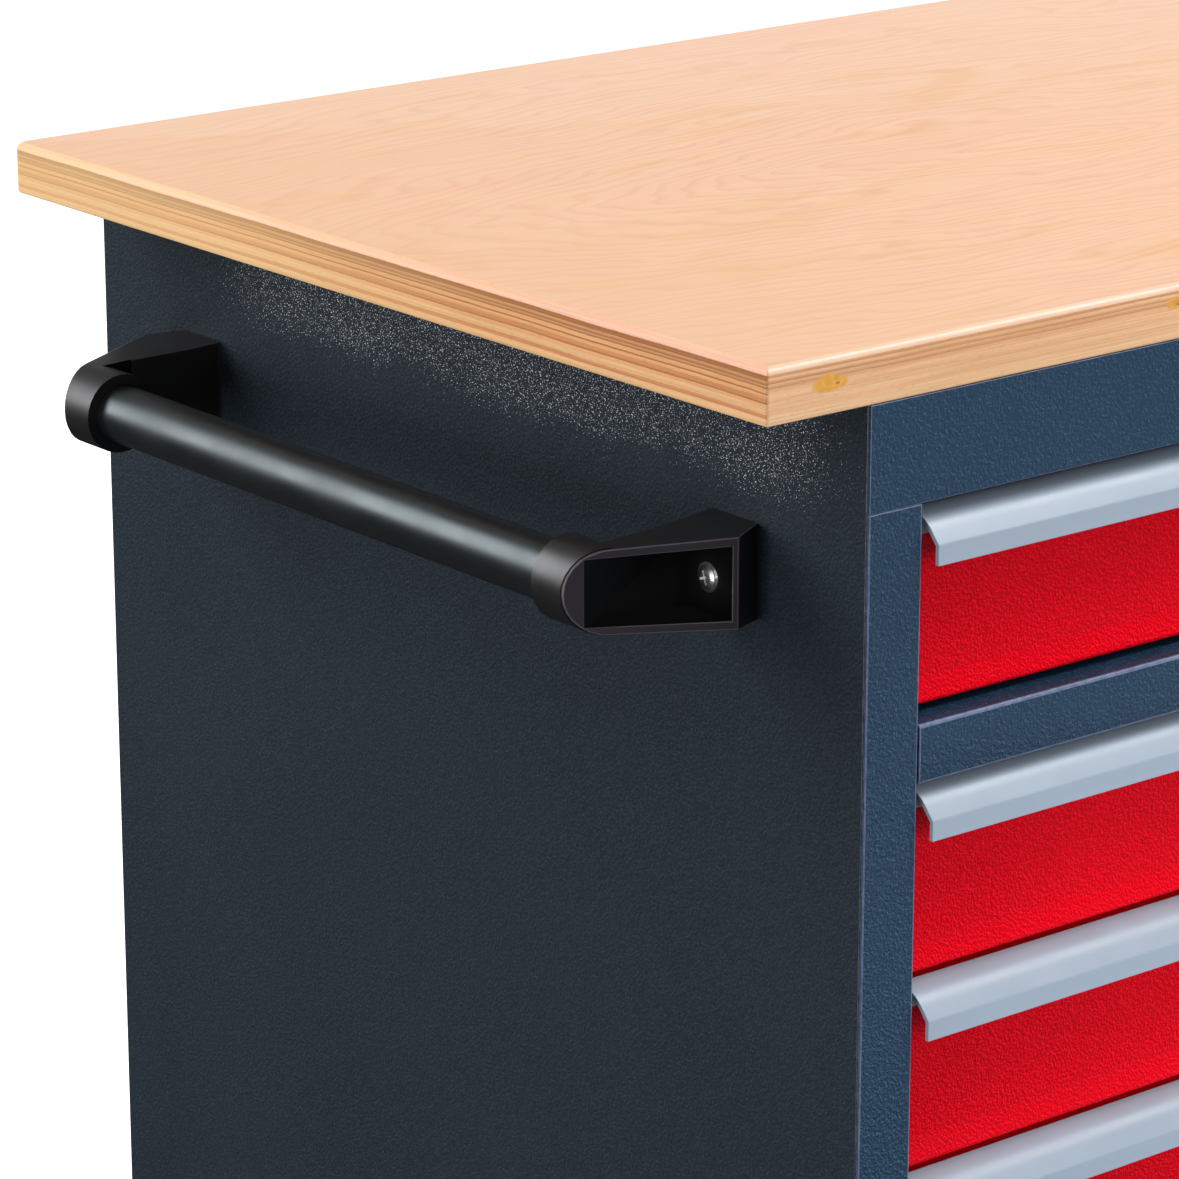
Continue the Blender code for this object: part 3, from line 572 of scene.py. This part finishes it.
def bent_path(corners, radii, steps):
    """(point, left normal) pairs along a path. Its corners are rounded to the radii, in steps."""
    corners = [Vector(corner) for corner in corners]
    first = (corners[1] - corners[0]).normalized()
    samples = [(corners[0], left_of(first))]
    for before, corner, after, radius in zip(corners, corners[1:], corners[2:], radii):
        come, go = (corner - before).normalized(), (after - corner).normalized()
        turn = math.atan2(come.cross(go), come.dot(go))
        side = math.copysign(1, turn)
        start = corner - come * radius * math.tan(abs(turn) / 2)
        centre = start + left_of(come) * radius * side
        for step in range(steps + 1):
            normal = Matrix.Rotation(turn * step / steps, 2) @ left_of(come)
            samples.append((centre - normal * radius * side, normal))
    last = (corners[-1] - corners[-2]).normalized()
    samples.append((corners[-1], left_of(last)))
    return samples


def bent_sheet(samples, thick, low_x, high_x, cuts=2):
    """A sheet of the given thickness, bent along a (y, z) path and drawn out along X in so many lengths."""
    bm = bmesh.new()
    rows = []
    for cut in range(cuts + 1):
        x = low_x + (high_x - low_x) * cut / cuts
        outer = [bm.verts.new((x, point.x, point.y)) for point, _ in samples]
        inner = [bm.verts.new((x, *(point + normal * thick))) for point, normal in samples]
        rows.append((outer, inner))
    for (outer, inner), (outer_2, inner_2) in zip(rows, rows[1:]):
        ring, ring_2 = outer + inner[::-1], outer_2 + inner_2[::-1]
        for i in range(len(ring)):
            j = (i + 1) % len(ring)
            bm.faces.new((ring[i], ring[j], ring_2[j], ring_2[i]))
    for outer, inner in (rows[0], rows[-1]):
        for i in range(len(outer) - 1):
            bm.faces.new((outer[i], outer[i + 1], inner[i + 1], inner[i]))
    bmesh.ops.recalc_face_normals(bm, faces=bm.faces)
    return bm


def lathe(bm, profile, centre, axis, segments):
    """A turned solid about an axis through centre, from (along, radius) points. Radius 0 closes an end."""
    turn = Vector(axis).normalized().to_track_quat("Z", "Y").to_matrix()
    rings = []
    for along, radius in profile:
        if radius == 0:
            rings.append([bm.verts.new(Vector(centre) + turn @ Vector((0, 0, along)))])
            continue
        ring = []
        for i in range(segments):
            angle = 2 * math.pi * i / segments
            spot = Vector((radius * math.cos(angle), radius * math.sin(angle), along))
            ring.append(bm.verts.new(Vector(centre) + turn @ spot))
        rings.append(ring)
    for ring, following in zip(rings, rings[1:]):
        for i in range(segments):
            j = (i + 1) % segments
            corners = [ring[i % len(ring)], ring[j % len(ring)]]
            corners += [following[j % len(following)], following[i % len(following)]]
            bm.faces.new(list(dict.fromkeys(corners)))


def closed_lathe(profile, centre, axis, segments):
    """A turned ring from a closed profile of (along, radius) points, as a bmesh."""
    bm = bmesh.new()
    lathe(bm, profile + [profile[0]], centre, axis, segments)
    bmesh.ops.remove_doubles(bm, verts=bm.verts, dist=0.001 * MM)
    bmesh.ops.recalc_face_normals(bm, faces=bm.faces)
    return bm


def arc(centre, radius, start, end, steps):
    """Points on an arc about a centre in a plane, from angle start to angle end, in degrees."""
    points = []
    for i in range(steps + 1):
        angle = math.radians(start + (end - start) * i / steps)
        points.append((centre[0] + radius * math.cos(angle), centre[1] + radius * math.sin(angle)))
    return points


# ---------------------------------------------------------------- the worktop

TOP_ARRIS = 4.0 * MM
FOOT_ARRIS = 0.9 * MM
TOP_STEPS = 8
FOOT_STEPS = 3
FRONT_CORNER = 1.6 * MM
BACK_CORNER = 9 * MM
SMALLEST_CORNER = 0.3 * MM
CORNER_STEPS = 6
# Each glue line is a groove this deep, with this half width, from a little below the top's arris on
GROOVE_DEPTH = 0.03 * MM
GROOVE_HALF = 0.22 * MM
GROOVES_BELOW_ARRIS = 0.5 * MM
BOARD_SMOOTH_ANGLE = 50
# The board's material indices, and what an arris face's normal has along Z at least
FACE, END, EDGE, ARRIS = 0, 1, 2, 3
UP_FACING = 0.2


def edge_profile():
    """(inset, z) points round the board's edge, from the top face to the underside."""
    profile = []
    for i in range(TOP_STEPS + 1):
        angle = math.pi / 2 * i / TOP_STEPS
        inset = TOP_ARRIS * (1 - math.sin(angle))
        profile.append((inset, TOP_HIGH.z - TOP_ARRIS * (1 - math.cos(angle))))
    depth = 0.0
    for layer, _ in END_PLIES[:-1]:
        depth += layer * MM
        z = TOP_HIGH.z - depth
        if z < TOP_HIGH.z - TOP_ARRIS - GROOVES_BELOW_ARRIS:
            profile += [(0, z + GROOVE_HALF), (GROOVE_DEPTH, z), (0, z - GROOVE_HALF)]
    for i in range(FOOT_STEPS + 1):
        angle = math.pi / 2 * i / FOOT_STEPS
        inset = FOOT_ARRIS * (1 - math.cos(angle))
        profile.append((inset, TOP_LOW.z + FOOT_ARRIS * (1 - math.sin(angle))))
    return profile


def board_outline(inset):
    """The board's outline in plan. Its back corners are rounder than its front ones."""
    points = []
    corners = ((TOP_LOW, 1, 1, 180), (TOP_HIGH, -1, 1, 270), (TOP_HIGH, -1, -1, 0), (TOP_LOW, 1, -1, 90))
    for end, inward_x, inward_y, start in corners:
        radius = max((FRONT_CORNER if inward_y > 0 else BACK_CORNER) - inset, SMALLEST_CORNER)
        side = TOP_LOW if inward_y > 0 else TOP_HIGH
        x = end.x + inward_x * (inset + radius)
        y = side.y + inward_y * (inset + radius)
        points += arc((x, y), radius, start, start + 90, CORNER_STEPS)
    return points


def worktop(face, end, edge, arris):
    """The plywood board: its faces, its left and right ends, its long edges and their rounded top arris."""
    bm = bmesh.new()
    loops = [[bm.verts.new((x, y, z)) for x, y in board_outline(inset)] for inset, z in edge_profile()]
    count = len(loops[0])
    for upper, lower in zip(loops, loops[1:]):
        for i in range(count):
            j = (i + 1) % count
            quad = bm.faces.new((upper[i], lower[i], lower[j], upper[j]))
            along = upper[j].co - upper[i].co
            quad.material_index = END if abs(along.y) > abs(along.x) else EDGE
    bm.faces.new(loops[0]).material_index = FACE
    bm.faces.new(loops[-1][::-1])
    bmesh.ops.recalc_face_normals(bm, faces=bm.faces)
    for quad in bm.faces:
        if quad.normal.z > UP_FACING and quad.material_index == EDGE:
            quad.material_index = ARRIS
    materials = [face, end, edge, arris]
    piece("worktop_board", bm, "root", materials, ("worktop",), BOARD_SMOOTH_ANGLE)


# ---------------------------------------------------------------- drawers

SHEET_EDGE = 0.3 * MM
GRIP_THICK = 2.2 * MM
GRIP_BACK_TALL = 15 * MM
GRIP_TOP_DEEP = 12.5 * MM
GRIP_SLOPE = (24.3 * MM, 14.2 * MM)
GRIP_RADII = (2.6 * MM, 23 * MM, 2.0 * MM)
GRIP_STEPS = 12
FRONT_THICK = 1.5 * MM
FRONT_RADII = (2.2 * MM, 9 * MM, 2.4 * MM)
FRONT_STEPS = 9
FRONT_BELOW_GRIP = 1.2 * MM
LIP_TALL = 13 * MM
LIP_PROUD = 5 * MM
# The side folds keep clear of the bent sheet: behind its face, inside its top and foot, and at its open
# back. They start this far in from its end.
FOLD_BEHIND = 1.7 * MM
FOLD_INSIDE = 2 * MM
FOLD_SHORT = 1 * MM
FOLD_IN = 0.2 * MM


def drawer_grip(number, material):
    """The grip profile: a wall on the front's top, a flat, a sloping face with a soft bend, and a lip."""
    node = f"drawer_{number}_grip"
    low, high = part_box(node)
    y, z = high.y, high.z
    slope_end = (y - GRIP_SLOPE[0], z - GRIP_SLOPE[1])
    corners = [(y, z - GRIP_BACK_TALL), (y, z), (y - GRIP_TOP_DEEP, z), slope_end, (low.y, low.z)]
    bm = bent_sheet(bent_path(corners, GRIP_RADII, GRIP_STEPS), GRIP_THICK, low.x, high.x)
    grip = piece(node + "_profile", bm, BODY_OF[node], material, (node,))
    bevelled(grip, SHEET_EDGE, segments=2)


def drawer_front(number, material):
    """The folded front with its flared lip, and a fold that closes it at each side."""
    node = f"drawer_{number}_front"
    low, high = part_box(node)
    face = low.y + LIP_PROUD
    top, foot = high.z - FRONT_BELOW_GRIP, low.z
    corners = [(high.y, top), (face, top), (face, foot + LIP_TALL), (low.y, foot), (high.y, foot)]
    bm = bent_sheet(bent_path(corners, FRONT_RADII, FRONT_STEPS), FRONT_THICK, low.x, high.x)
    front = piece(node + "_folded", bm, BODY_OF[node], material, (node,))
    bevelled(front, SHEET_EDGE, segments=2)
    near_y, far_y = high.y - FOLD_SHORT, face + FOLD_BEHIND
    high_z, low_z = top - FOLD_INSIDE, foot + FOLD_INSIDE
    outline = [(near_y, high_z), (far_y, high_z), (far_y, low_z), (near_y, low_z)]
    for side, x, inward in (("left", low.x, 1), ("right", high.x, -1)):
        bm = side_fold(outline, x + inward * FOLD_IN, x + inward * FRONT_THICK)
        fold = piece(f"{node}_fold_{side}", bm, BODY_OF[node], material)
        bevelled(fold, SHEET_EDGE, segments=2)


def side_fold(outline, near_x, far_x):
    """A flat plate with a (y, z) outline between two places along X, as a bmesh."""
    bm = bmesh.new()
    near = [bm.verts.new((near_x, y, z)) for y, z in outline]
    far = [bm.verts.new((far_x, y, z)) for y, z in outline]
    bm.faces.new(near)
    bm.faces.new(far[::-1])
    for i in range(len(outline)):
        j = (i + 1) % len(outline)
        bm.faces.new((near[j], near[i], far[i], far[j]))
    bmesh.ops.recalc_face_normals(bm, faces=bm.faces)
    return bm


# ---------------------------------------------------------------- the push bar

TUBE_WALL = 2 * MM
SCREW_FROM_CORNER = Vector((-23 * MM, 90.5 * MM, -101.5 * MM))
SCREW_RADIUS = 6.5 * MM
SCREW_TURN = math.radians(20)
SCREW_SUNK = 0.2 * MM
# Shares of the screw's radius
WASHER_WIDE, WASHER_TALL = 1.18, 0.14
SHOULDER_HIGH, SHOULDER_WIDE = 0.30, 0.985
DOME_TALL, DOME_WIDE = 0.36, 0.98
DOME_ANGLES = (0.6, 0.85, 1.1, 1.3)
DOME_FULLNESS = 0.7
CROSS_LONG, CROSS_WIDE, CROSS_DEEP = 1.15, 0.2, 0.62
# Material indices of the bracket: its outside, the rim of its open face, painted paler as painted light, and
# the inside of its pocket, painted near black as painted shade
OUTSIDE, RIM, INSIDE = 0, 1, 2
# What a rim face's normal has along its own side of Y, and the most that it has along Z
RIM_OUTWARD = (0.3, 0.999)
RIM_UPWARD = 0.02
BRACKET_EDGE_ANGLE = math.radians(35)
BRACKET_ROUNDING = 1.1 * MM
LONG_EDGE = 20 * MM
OFF_THE_FACE = 0.2 * MM


def push_bar(tube, bracket_materials, bracket_edge_highlight, screw_material):
    """The tube, a bracket at each end of it and the screw in each bracket."""
    low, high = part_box("push_bar")
    centre = (low + high) / 2
    radius, half = (high.z - low.z) / 2, (high.y - low.y) / 2
    wall = radius - TUBE_WALL
    section = [(-half, wall), (-half, radius), (half, radius), (half, wall)]
    bm = closed_lathe(section, centre, ALONG_Y, segments=96)
    piece("push_bar_tube", bm, "root", tube, ("push_bar",))
    for row in ROWS:
        bar_bracket(row, bracket_materials, bracket_edge_highlight)
    for row in ROWS:
        spot = CORNER + SCREW_FROM_CORNER
        if row == "rear":
            spot.y = FRONT + BACK - spot.y
        pan_screw(f"bar_screw_{row}", spot, (-1, 0, 0), SCREW_RADIUS, screw_material)


def mark_bracket_faces(bm, outward):
    """Sets each face's material index. INSIDE faces look at another wall, or have one above and below them.
    RIM faces look outward and lie beside the inside.
    """
    bm.normal_update()
    tree = BVHTree.FromBMesh(bm)
    for face in bm.faces:
        start = face.calc_center_median() + face.normal * OFF_THE_FACE
        enclosed = all(tree.ray_cast(start, (0, 0, z))[0] for z in (1, -1))
        if tree.ray_cast(start, face.normal)[0] or enclosed:
            face.material_index = INSIDE
    inner = {line for face in bm.faces if face.material_index == INSIDE for line in face.edges}
    for face in bm.faces:
        tilted = RIM_OUTWARD[0] < face.normal.y * outward < RIM_OUTWARD[1]
        faces_out = tilted and abs(face.normal.z) < RIM_UPWARD
        if face.material_index == OUTSIDE and faces_out and inner.intersection(face.edges):
            face.material_index = RIM


def bar_bracket(row, materials, edge):
    """The moulded bracket. The rim of its open face is rounded, and so is the end of its collar."""
    node = f"bar_bracket_{row}"
    bm = cleaned(node)
    mark_bracket_faces(bm, -1 if row == "front" else 1)
    weight = bm.edges.layers.float.new("bevel_weight_edge")
    for line in bm.edges:
        if len(line.link_faces) < 2 or line.calc_face_angle() < BRACKET_EDGE_ANGLE:
            continue
        kinds = {face.material_index for face in line.link_faces}
        if kinds == {OUTSIDE, RIM}:
            line[weight] = 1.0
        elif kinds == {RIM, INSIDE}:
            line[weight] = 0.7
        elif kinds == {OUTSIDE} and line.calc_length() > LONG_EDGE:
            line[weight] = 0.6
    bracket = piece(node + "_finished", bm, "root", materials, (node,))
    # The rounded edges take the edge material, painted paler as a painted highlight
    bevelled(bracket, BRACKET_ROUNDING, 4, edge, limit="WEIGHT")
    bracket.modifiers.new("Flat faces", "WEIGHTED_NORMAL").keep_sharp = True


def pan_screw(name, spot, axis, radius, material):
    """A pan head screw: a low dome on a thin washer, with a cross recess."""
    washer, tall = radius * WASHER_TALL, radius * DOME_TALL
    wide = radius * WASHER_WIDE
    profile = [(-SCREW_SUNK, 0), (-SCREW_SUNK, wide), (washer, wide), (washer, radius)]
    profile += [(radius * SHOULDER_HIGH, radius * SHOULDER_WIDE)]
    for angle in DOME_ANGLES:
        out = radius * DOME_WIDE * math.cos(angle) ** DOME_FULLNESS
        profile.append((washer + tall * math.sin(angle), out))
    profile += [(washer + tall, 0)]
    bm = bmesh.new()
    lathe(bm, profile, (0, 0, 0), (0, 0, 1), segments=40)
    bmesh.ops.recalc_face_normals(bm, faces=bm.faces)
    cross = bmesh.new()
    long, narrow = radius * CROSS_LONG, radius * CROSS_WIDE
    for across, up in ((narrow, long), (long, narrow)):
        size = Matrix.Diagonal((across, up, radius * CROSS_DEEP, 1))
        bmesh.ops.create_cube(cross, size=1.0, matrix=Matrix.Translation((0, 0, washer + tall)) @ size)
    head = cut_mesh(mesh_of(name, bm), mesh_of(name + "_cross", cross))
    turn = Vector(axis).to_track_quat("Z", "Y").to_matrix().to_4x4()
    head.transform(Matrix.Translation(spot) @ turn @ Matrix.Rotation(SCREW_TURN, 4, "Z"))
    piece(name, head, "root", material)


def cut_mesh(mesh, cutter_mesh):
    """The mesh less the cutter, as a new mesh."""
    scene = bpy.context.scene.collection
    body = bpy.data.objects.new("cut_body", mesh)
    cutter = bpy.data.objects.new("cut_tool", cutter_mesh)
    scene.objects.link(body)
    scene.objects.link(cutter)
    modifier = body.modifiers.new("Cut", "BOOLEAN")
    modifier.operation = "DIFFERENCE"
    modifier.use_self = True
    modifier.object = cutter
    bpy.context.view_layer.update()
    whole = bpy.data.meshes.new_from_object(body.evaluated_get(bpy.context.evaluated_depsgraph_get()))
    bpy.data.objects.remove(body)
    bpy.data.objects.remove(cutter)
    return whole


# ---------------------------------------------------------------- castors

TYRE_HALF = 16 * MM
TYRE_SHOULDER = 6 * MM
TYRE_SEAT = 2 * MM
RIM_RADIUS = 46 * MM
# Half of the core's profile, from its bore out, as (half width, radius)
CORE_PROFILE = (
    (19 * MM, 6.3 * MM),
    (19 * MM, 13 * MM),
    (17 * MM, 15 * MM),
    (8 * MM, 17 * MM),
    (6 * MM, 42 * MM),
    (12 * MM, 44 * MM),
    (13 * MM, RIM_RADIUS),
)
WHEEL_RIBS = 8
# A rib's sections, from hub to rim: distance out, half thickness and height above the wheel's middle plane
RIB_SECTIONS = ((15 * MM, 2.6 * MM, 12.5 * MM), (30 * MM, 1.7 * MM, 11 * MM), (43.5 * MM, 1.5 * MM, 12 * MM))
RIB_FOOT = 5 * MM
RIB_TAPER = 0.7


def wheel(name, tread, core):
    """A tyre with rounded shoulders on a ribbed core."""
    low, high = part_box(name)
    centre = (low + high) / 2
    radius = min((high.x - low.x) / 2, centre.z - low.z)
    out, up = TYRE_HALF - TYRE_SHOULDER, radius - TYRE_SHOULDER
    tyre = [(-TYRE_HALF + TYRE_SEAT, RIM_RADIUS)] + arc((-out, up), TYRE_SHOULDER, 180, 90, 6)
    tyre += arc((out, up), TYRE_SHOULDER, 90, 0, 6) + [(TYRE_HALF - TYRE_SEAT, RIM_RADIUS)]
    bm = closed_lathe(tyre, centre, ALONG_Y, segments=96)
    piece(name + "_tyre", bm, name, tread, (name,))
    hub = [(-along, out) for along, out in CORE_PROFILE] + list(reversed(CORE_PROFILE))
    bm = closed_lathe(hub, centre, ALONG_Y, segments=72)
    bevelled(piece(name + "_core", bm, name, core), 0.5 * MM, segments=2)
    ribs = bmesh.new()
    for side in (-1, 1):
        for i in range(WHEEL_RIBS):
            turn = Matrix.Rotation(2 * math.pi * (i + 0.5) / WHEEL_RIBS, 4, "Y")
            tapered_rib(ribs, Matrix.Translation(centre) @ turn, side)
    bmesh.ops.recalc_face_normals(ribs, faces=ribs.faces)
    bevelled(piece(name + "_ribs", ribs, name, core), 0.8 * MM, segments=2)


def tapered_rib(bm, turn, side):
    """A wheel's rib on one side of the web: thick and tall at the hub, thin and low at the rim."""
    rings = []
    for out, thick, height in RIB_SECTIONS:
        crest = thick * RIB_TAPER
        corners = ((-thick, RIB_FOOT), (thick, RIB_FOOT), (crest, height), (-crest, height))
        rings.append([bm.verts.new(turn @ Vector((out, side * y, z))) for z, y in corners])
    for near, far in zip(rings, rings[1:]):
        for i in range(4):
            j = (i + 1) % 4
            bm.faces.new((near[i], near[j], far[j], far[i]))
    bm.faces.new(rings[0])
    bm.faces.new(rings[-1][::-1])


PLATE_THICK = 3.5 * MM
BOLT_HALF_SPACING = (41 * MM, 31.5 * MM)
BOLT_ACROSS_FLATS = 13 * MM
BOLT_TALL = 6.5 * MM
BOLT_CHAMFER = 0.6 * MM
BOLT_TOP_SHARE = 0.86
WASHER_RADIUS = 8 * MM
WASHER_THICK = 1.2 * MM


def hex_bolt(bm, centre, axis):
    """A hexagon head with a chamfered top on a round washer."""
    washer = [(0, 0), (0, WASHER_RADIUS), (WASHER_THICK, WASHER_RADIUS), (WASHER_THICK, 0)]
    lathe(bm, washer, centre, axis, segments=32)
    r = BOLT_ACROSS_FLATS / math.sqrt(3)
    head = [(WASHER_THICK, 0), (WASHER_THICK, r), (BOLT_TALL - BOLT_CHAMFER, r)]
    head += [(BOLT_TALL, r * BOLT_TOP_SHARE), (BOLT_TALL, 0)]
    lathe(bm, head, centre, axis, segments=6)


def plate_bolts(node, steel):
    """Four bolts through the corners of a castor's plate, heads below."""
    low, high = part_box(node)
    middle = (low + high) / 2
    bm = bmesh.new()
    for x in (middle.x - BOLT_HALF_SPACING[0], middle.x + BOLT_HALF_SPACING[0]):
        for y in (middle.y - BOLT_HALF_SPACING[1], middle.y + BOLT_HALF_SPACING[1]):
            hex_bolt(bm, (x, y, high.z - PLATE_THICK), (0, 0, -1))
    bmesh.ops.recalc_face_normals(bm, faces=bm.faces)
    bevelled(piece(node + "_bolts", bm, "root", steel), 0.3 * MM, segments=2)


def castors(tread, core, steel, nylon):
    for row in ROWS:
        for side in SIDES:
            wheel(f"wheel_{side}_{row}", tread, core)
            refined(f"axle_{side}_{row}", steel, 0.5 * MM, segments=2)
        for node in (f"castor_fork_left_{row}", f"castor_bracket_right_{row}"):
            refined(node, steel, 0.9 * MM)
        refined(f"castor_plate_left_{row}", steel, 0.6 * MM, segments=2)
        refined(f"brake_pedal_left_{row}", nylon, 1.2 * MM)
        for node in (f"castor_plate_left_{row}", f"castor_bracket_right_{row}"):
            plate_bolts(node, steel)


# ---------------------------------------------------------------- stage

# The world's brightness by height, and what the floor gives off
SKY_BELOW = 0.05
SKY_HORIZON = 0.97
SKY_ABOVE = 0.36
SKY_STOPS = [(0.42, SKY_BELOW), (0.46, SKY_HORIZON), (0.62, SKY_HORIZON), (0.68, SKY_ABOVE)]
FLOOR_COLOUR = (0.95, 0.95, 0.95)
FLOOR_GLOW = 0.6
FLOOR_SIZE = 160
COOL_TINT = (0.97, 0.98, 1.0)
CARD_TINT = (0.72, 0.84, 1.0)


def make_camera():
    data = bpy.data.cameras.new("camera")
    data.lens = CAMERA_LENS
    data.sensor_width = SENSOR_WIDTH
    data.clip_start, data.clip_end = 0.01, 100
    camera = bpy.data.objects.new("camera", data)
    bpy.context.scene.collection.objects.link(camera)
    camera.location = CORNER + CAMERA_FROM_CORNER
    level = math.cos(CAMERA_PITCH)
    look = Vector((math.sin(CAMERA_YAW) * level, math.cos(CAMERA_YAW) * level, -math.sin(CAMERA_PITCH)))
    camera.rotation_euler = look.to_track_quat("-Z", "Y").to_euler()
    bpy.context.scene.camera = camera


def area_light(name, spot, aim, size, watts):
    """A rectangular light at a spot, turned towards what it aims at."""
    data = bpy.data.lights.new(name, "AREA")
    data.shape = "RECTANGLE"
    data.size, data.size_y = size
    data.energy = watts
    light = bpy.data.objects.new(name, data)
    bpy.context.scene.collection.objects.link(light)
    light.location = spot
    light.rotation_euler = (Vector(aim) - Vector(spot)).to_track_quat("-Z", "Y").to_euler()
    return light


def make_world():
    """A grey sky above, a white band at the horizon, and near black below it."""
    world = bpy.data.worlds.new("studio")
    world.use_nodes = True
    tree = world.node_tree
    background = tree.nodes["Background"]
    coordinates = tree.nodes.new("ShaderNodeTexCoord")
    height = maths(tree, "ADD", axes(tree, coordinates.outputs["Generated"])[2], 0.5)
    tree.links.new(ramp(tree, height, SKY_STOPS), background.inputs["Color"])
    background.inputs["Strength"].default_value = 1.0
    bpy.context.scene.world = world


def make_stage():
    """The world, a pale floor that throws no light back on the model, and the lights."""
    make_world()
    bpy.ops.mesh.primitive_plane_add(size=FLOOR_SIZE)
    floor = bpy.context.object
    floor.name = "floor"
    material, _, shader = new_material("floor", FLOOR_COLOUR, 0.9, 0.0, 0.1)
    shader.inputs["Emission Color"].default_value = (1, 1, 1, 1)
    shader.inputs["Emission Strength"].default_value = FLOOR_GLOW
    floor.data.materials.append(material)
    floor.visible_glossy = False
    floor.visible_diffuse = False
    area_light("key", (1.3, -1.25, 3.4), aim=(0.05, -0.1, 0.8), size=(1.8, 1.5), watts=95)
    left = area_light("left", (-2.6, 2.7, 2.4), aim=(-0.5, 0.1, 0.7), size=(1.5, 2.7), watts=120)
    left.data.color = COOL_TINT
    area_light("left_low", (-3.0, -0.6, 0.4), aim=(-0.45, 0.0, 0.2), size=(1.2, 0.8), watts=22)
    front = area_light("front", (0.4, -3.4, 1.5), aim=(0.0, -0.3, 0.6), size=(2.0, 1.2), watts=27)
    front.visible_glossy = False
    card = area_light("card", (0.6, -1.5, 0.08), aim=(-0.35, -0.33, 0.3), size=(1.2, 0.7), watts=9)
    card.data.color = CARD_TINT
    card.visible_camera = False
    back = area_light("back", (0.8, 3.2, 2.0), aim=(0.0, 0.3, 0.6), size=(2.4, 1.6), watts=24)
    back.visible_glossy = False
    bpy.context.scene.view_settings.view_transform = "Standard"


# ---------------------------------------------------------------- put together

blue = powder_coat(
    "blue_powder_coat", linear(31, 58, 82), linear(64, 96, 120), roughness=0.36, specular=0.16
)
# The blue coat's rounded edges: painted paler than the coat as a painted highlight, with paler worn patches
blue_edge_highlight = rubbed_and_highlit("blue_edge_highlight", linear(76, 90, 118), linear(108, 118, 148))
charcoal = powder_coat(
    "charcoal_powder_coat",
    linear(40, 48, 56),
    linear(50, 59, 68),
    roughness=0.5,
    specular=0.1,
    grain=620,
    depth=0.25 * MM,
    extra=panel_painted_glints_and_seam,
)
charcoal_edge = rubbed_and_highlit("charcoal_edge", linear(38, 46, 54), linear(84, 92, 96))
red = powder_coat(
    "red_powder_coat", (0.84, 0.0003, 0.009), (0.97, 0.012, 0.040), roughness=0.36, specular=0.03
)
grey = satin("grip_grey", linear(155, 168, 182), roughness=0.34, specular=0.4, variation=0.03)
tray_grey = satin("tray_grey", linear(126, 134, 140), roughness=0.42, specular=0.4)
steel = zinc("zinc_steel")
bright_zinc = satin("bright_zinc", (0.94, 0.95, 0.96), roughness=0.22, metallic=1.0, variation=0.05)
black = satin("bar_black", linear(22, 24, 26), roughness=0.36, grain=0.003 * MM, variation=0.04)
bar_shader = black.node_tree.nodes["Principled BSDF"]
bar_shader.inputs["Specular Tint"].default_value = (0.8, 0.96, 1.0, 1.0)
nylon = satin("black_nylon", linear(18, 18, 20), roughness=0.42, grain=0.02 * MM)
# The bracket's rim: a purple-grey tint, painted paler than the bracket as painted light
nylon_rim_painted_light = satin("nylon_rim_painted_light", linear(45, 41, 47), roughness=0.5, specular=0.3, grain=0.02 * MM)
# The bracket's rounded edges, painted paler as a painted highlight
nylon_edge_highlight = satin("nylon_edge_highlight", linear(86, 80, 88), roughness=0.3)
# The inside of the bracket's pocket, painted near black as painted shade
nylon_pocket_shade = satin("nylon_pocket_shade", linear(7, 7, 8), roughness=0.6, specular=0.1)
core = satin("castor_core", linear(34, 35, 37), roughness=0.5, specular=0.3)
rubber = satin("castor_rubber", linear(66, 68, 70), roughness=0.75, specular=0.2, grain=0.05 * MM)

make_camera()
make_stage()

# The arris material is painted paler: a painted highlight along the board's long top edges
worktop(
    face=veneer("birch_face"),
    end=ply_edge("ply_end", END_PLIES, along_x=False),
    edge=ply_edge("ply_front", FRONT_PLIES, along_x=True),
    arris=veneer("birch_arris", polish=0.12, paler=0.2),
)
for node in ("side_panel_left", "side_panel_right", "back_panel", "base_tray", "rear_top_rail"):
    refined(node, charcoal, 0.6 * MM, edge=charcoal_edge)
for node in ("top_rail", "cross_rail", "bottom_rail", "stile_left", "stile_right"):
    refined(node, blue, 0.7 * MM, edge=blue_edge_highlight, merge=BEND_MERGE)
for node in ("slide_rack_left", "slide_rack_right"):
    refined(node, steel, 0.3 * MM, segments=2)
for number in DRAWERS:
    drawer_grip(number, grey)
    drawer_front(number, red)
    refined(f"drawer_{number}_tray", tray_grey, 0.5 * MM, segments=2)
    for side in SIDES:
        refined(f"slide_middle_{number}_{side}", steel, 0.3 * MM, segments=2)
push_bar(black, [nylon, nylon_rim_painted_light, nylon_pocket_shade], nylon_edge_highlight, bright_zinc)
castors(rubber, core, steel, nylon)
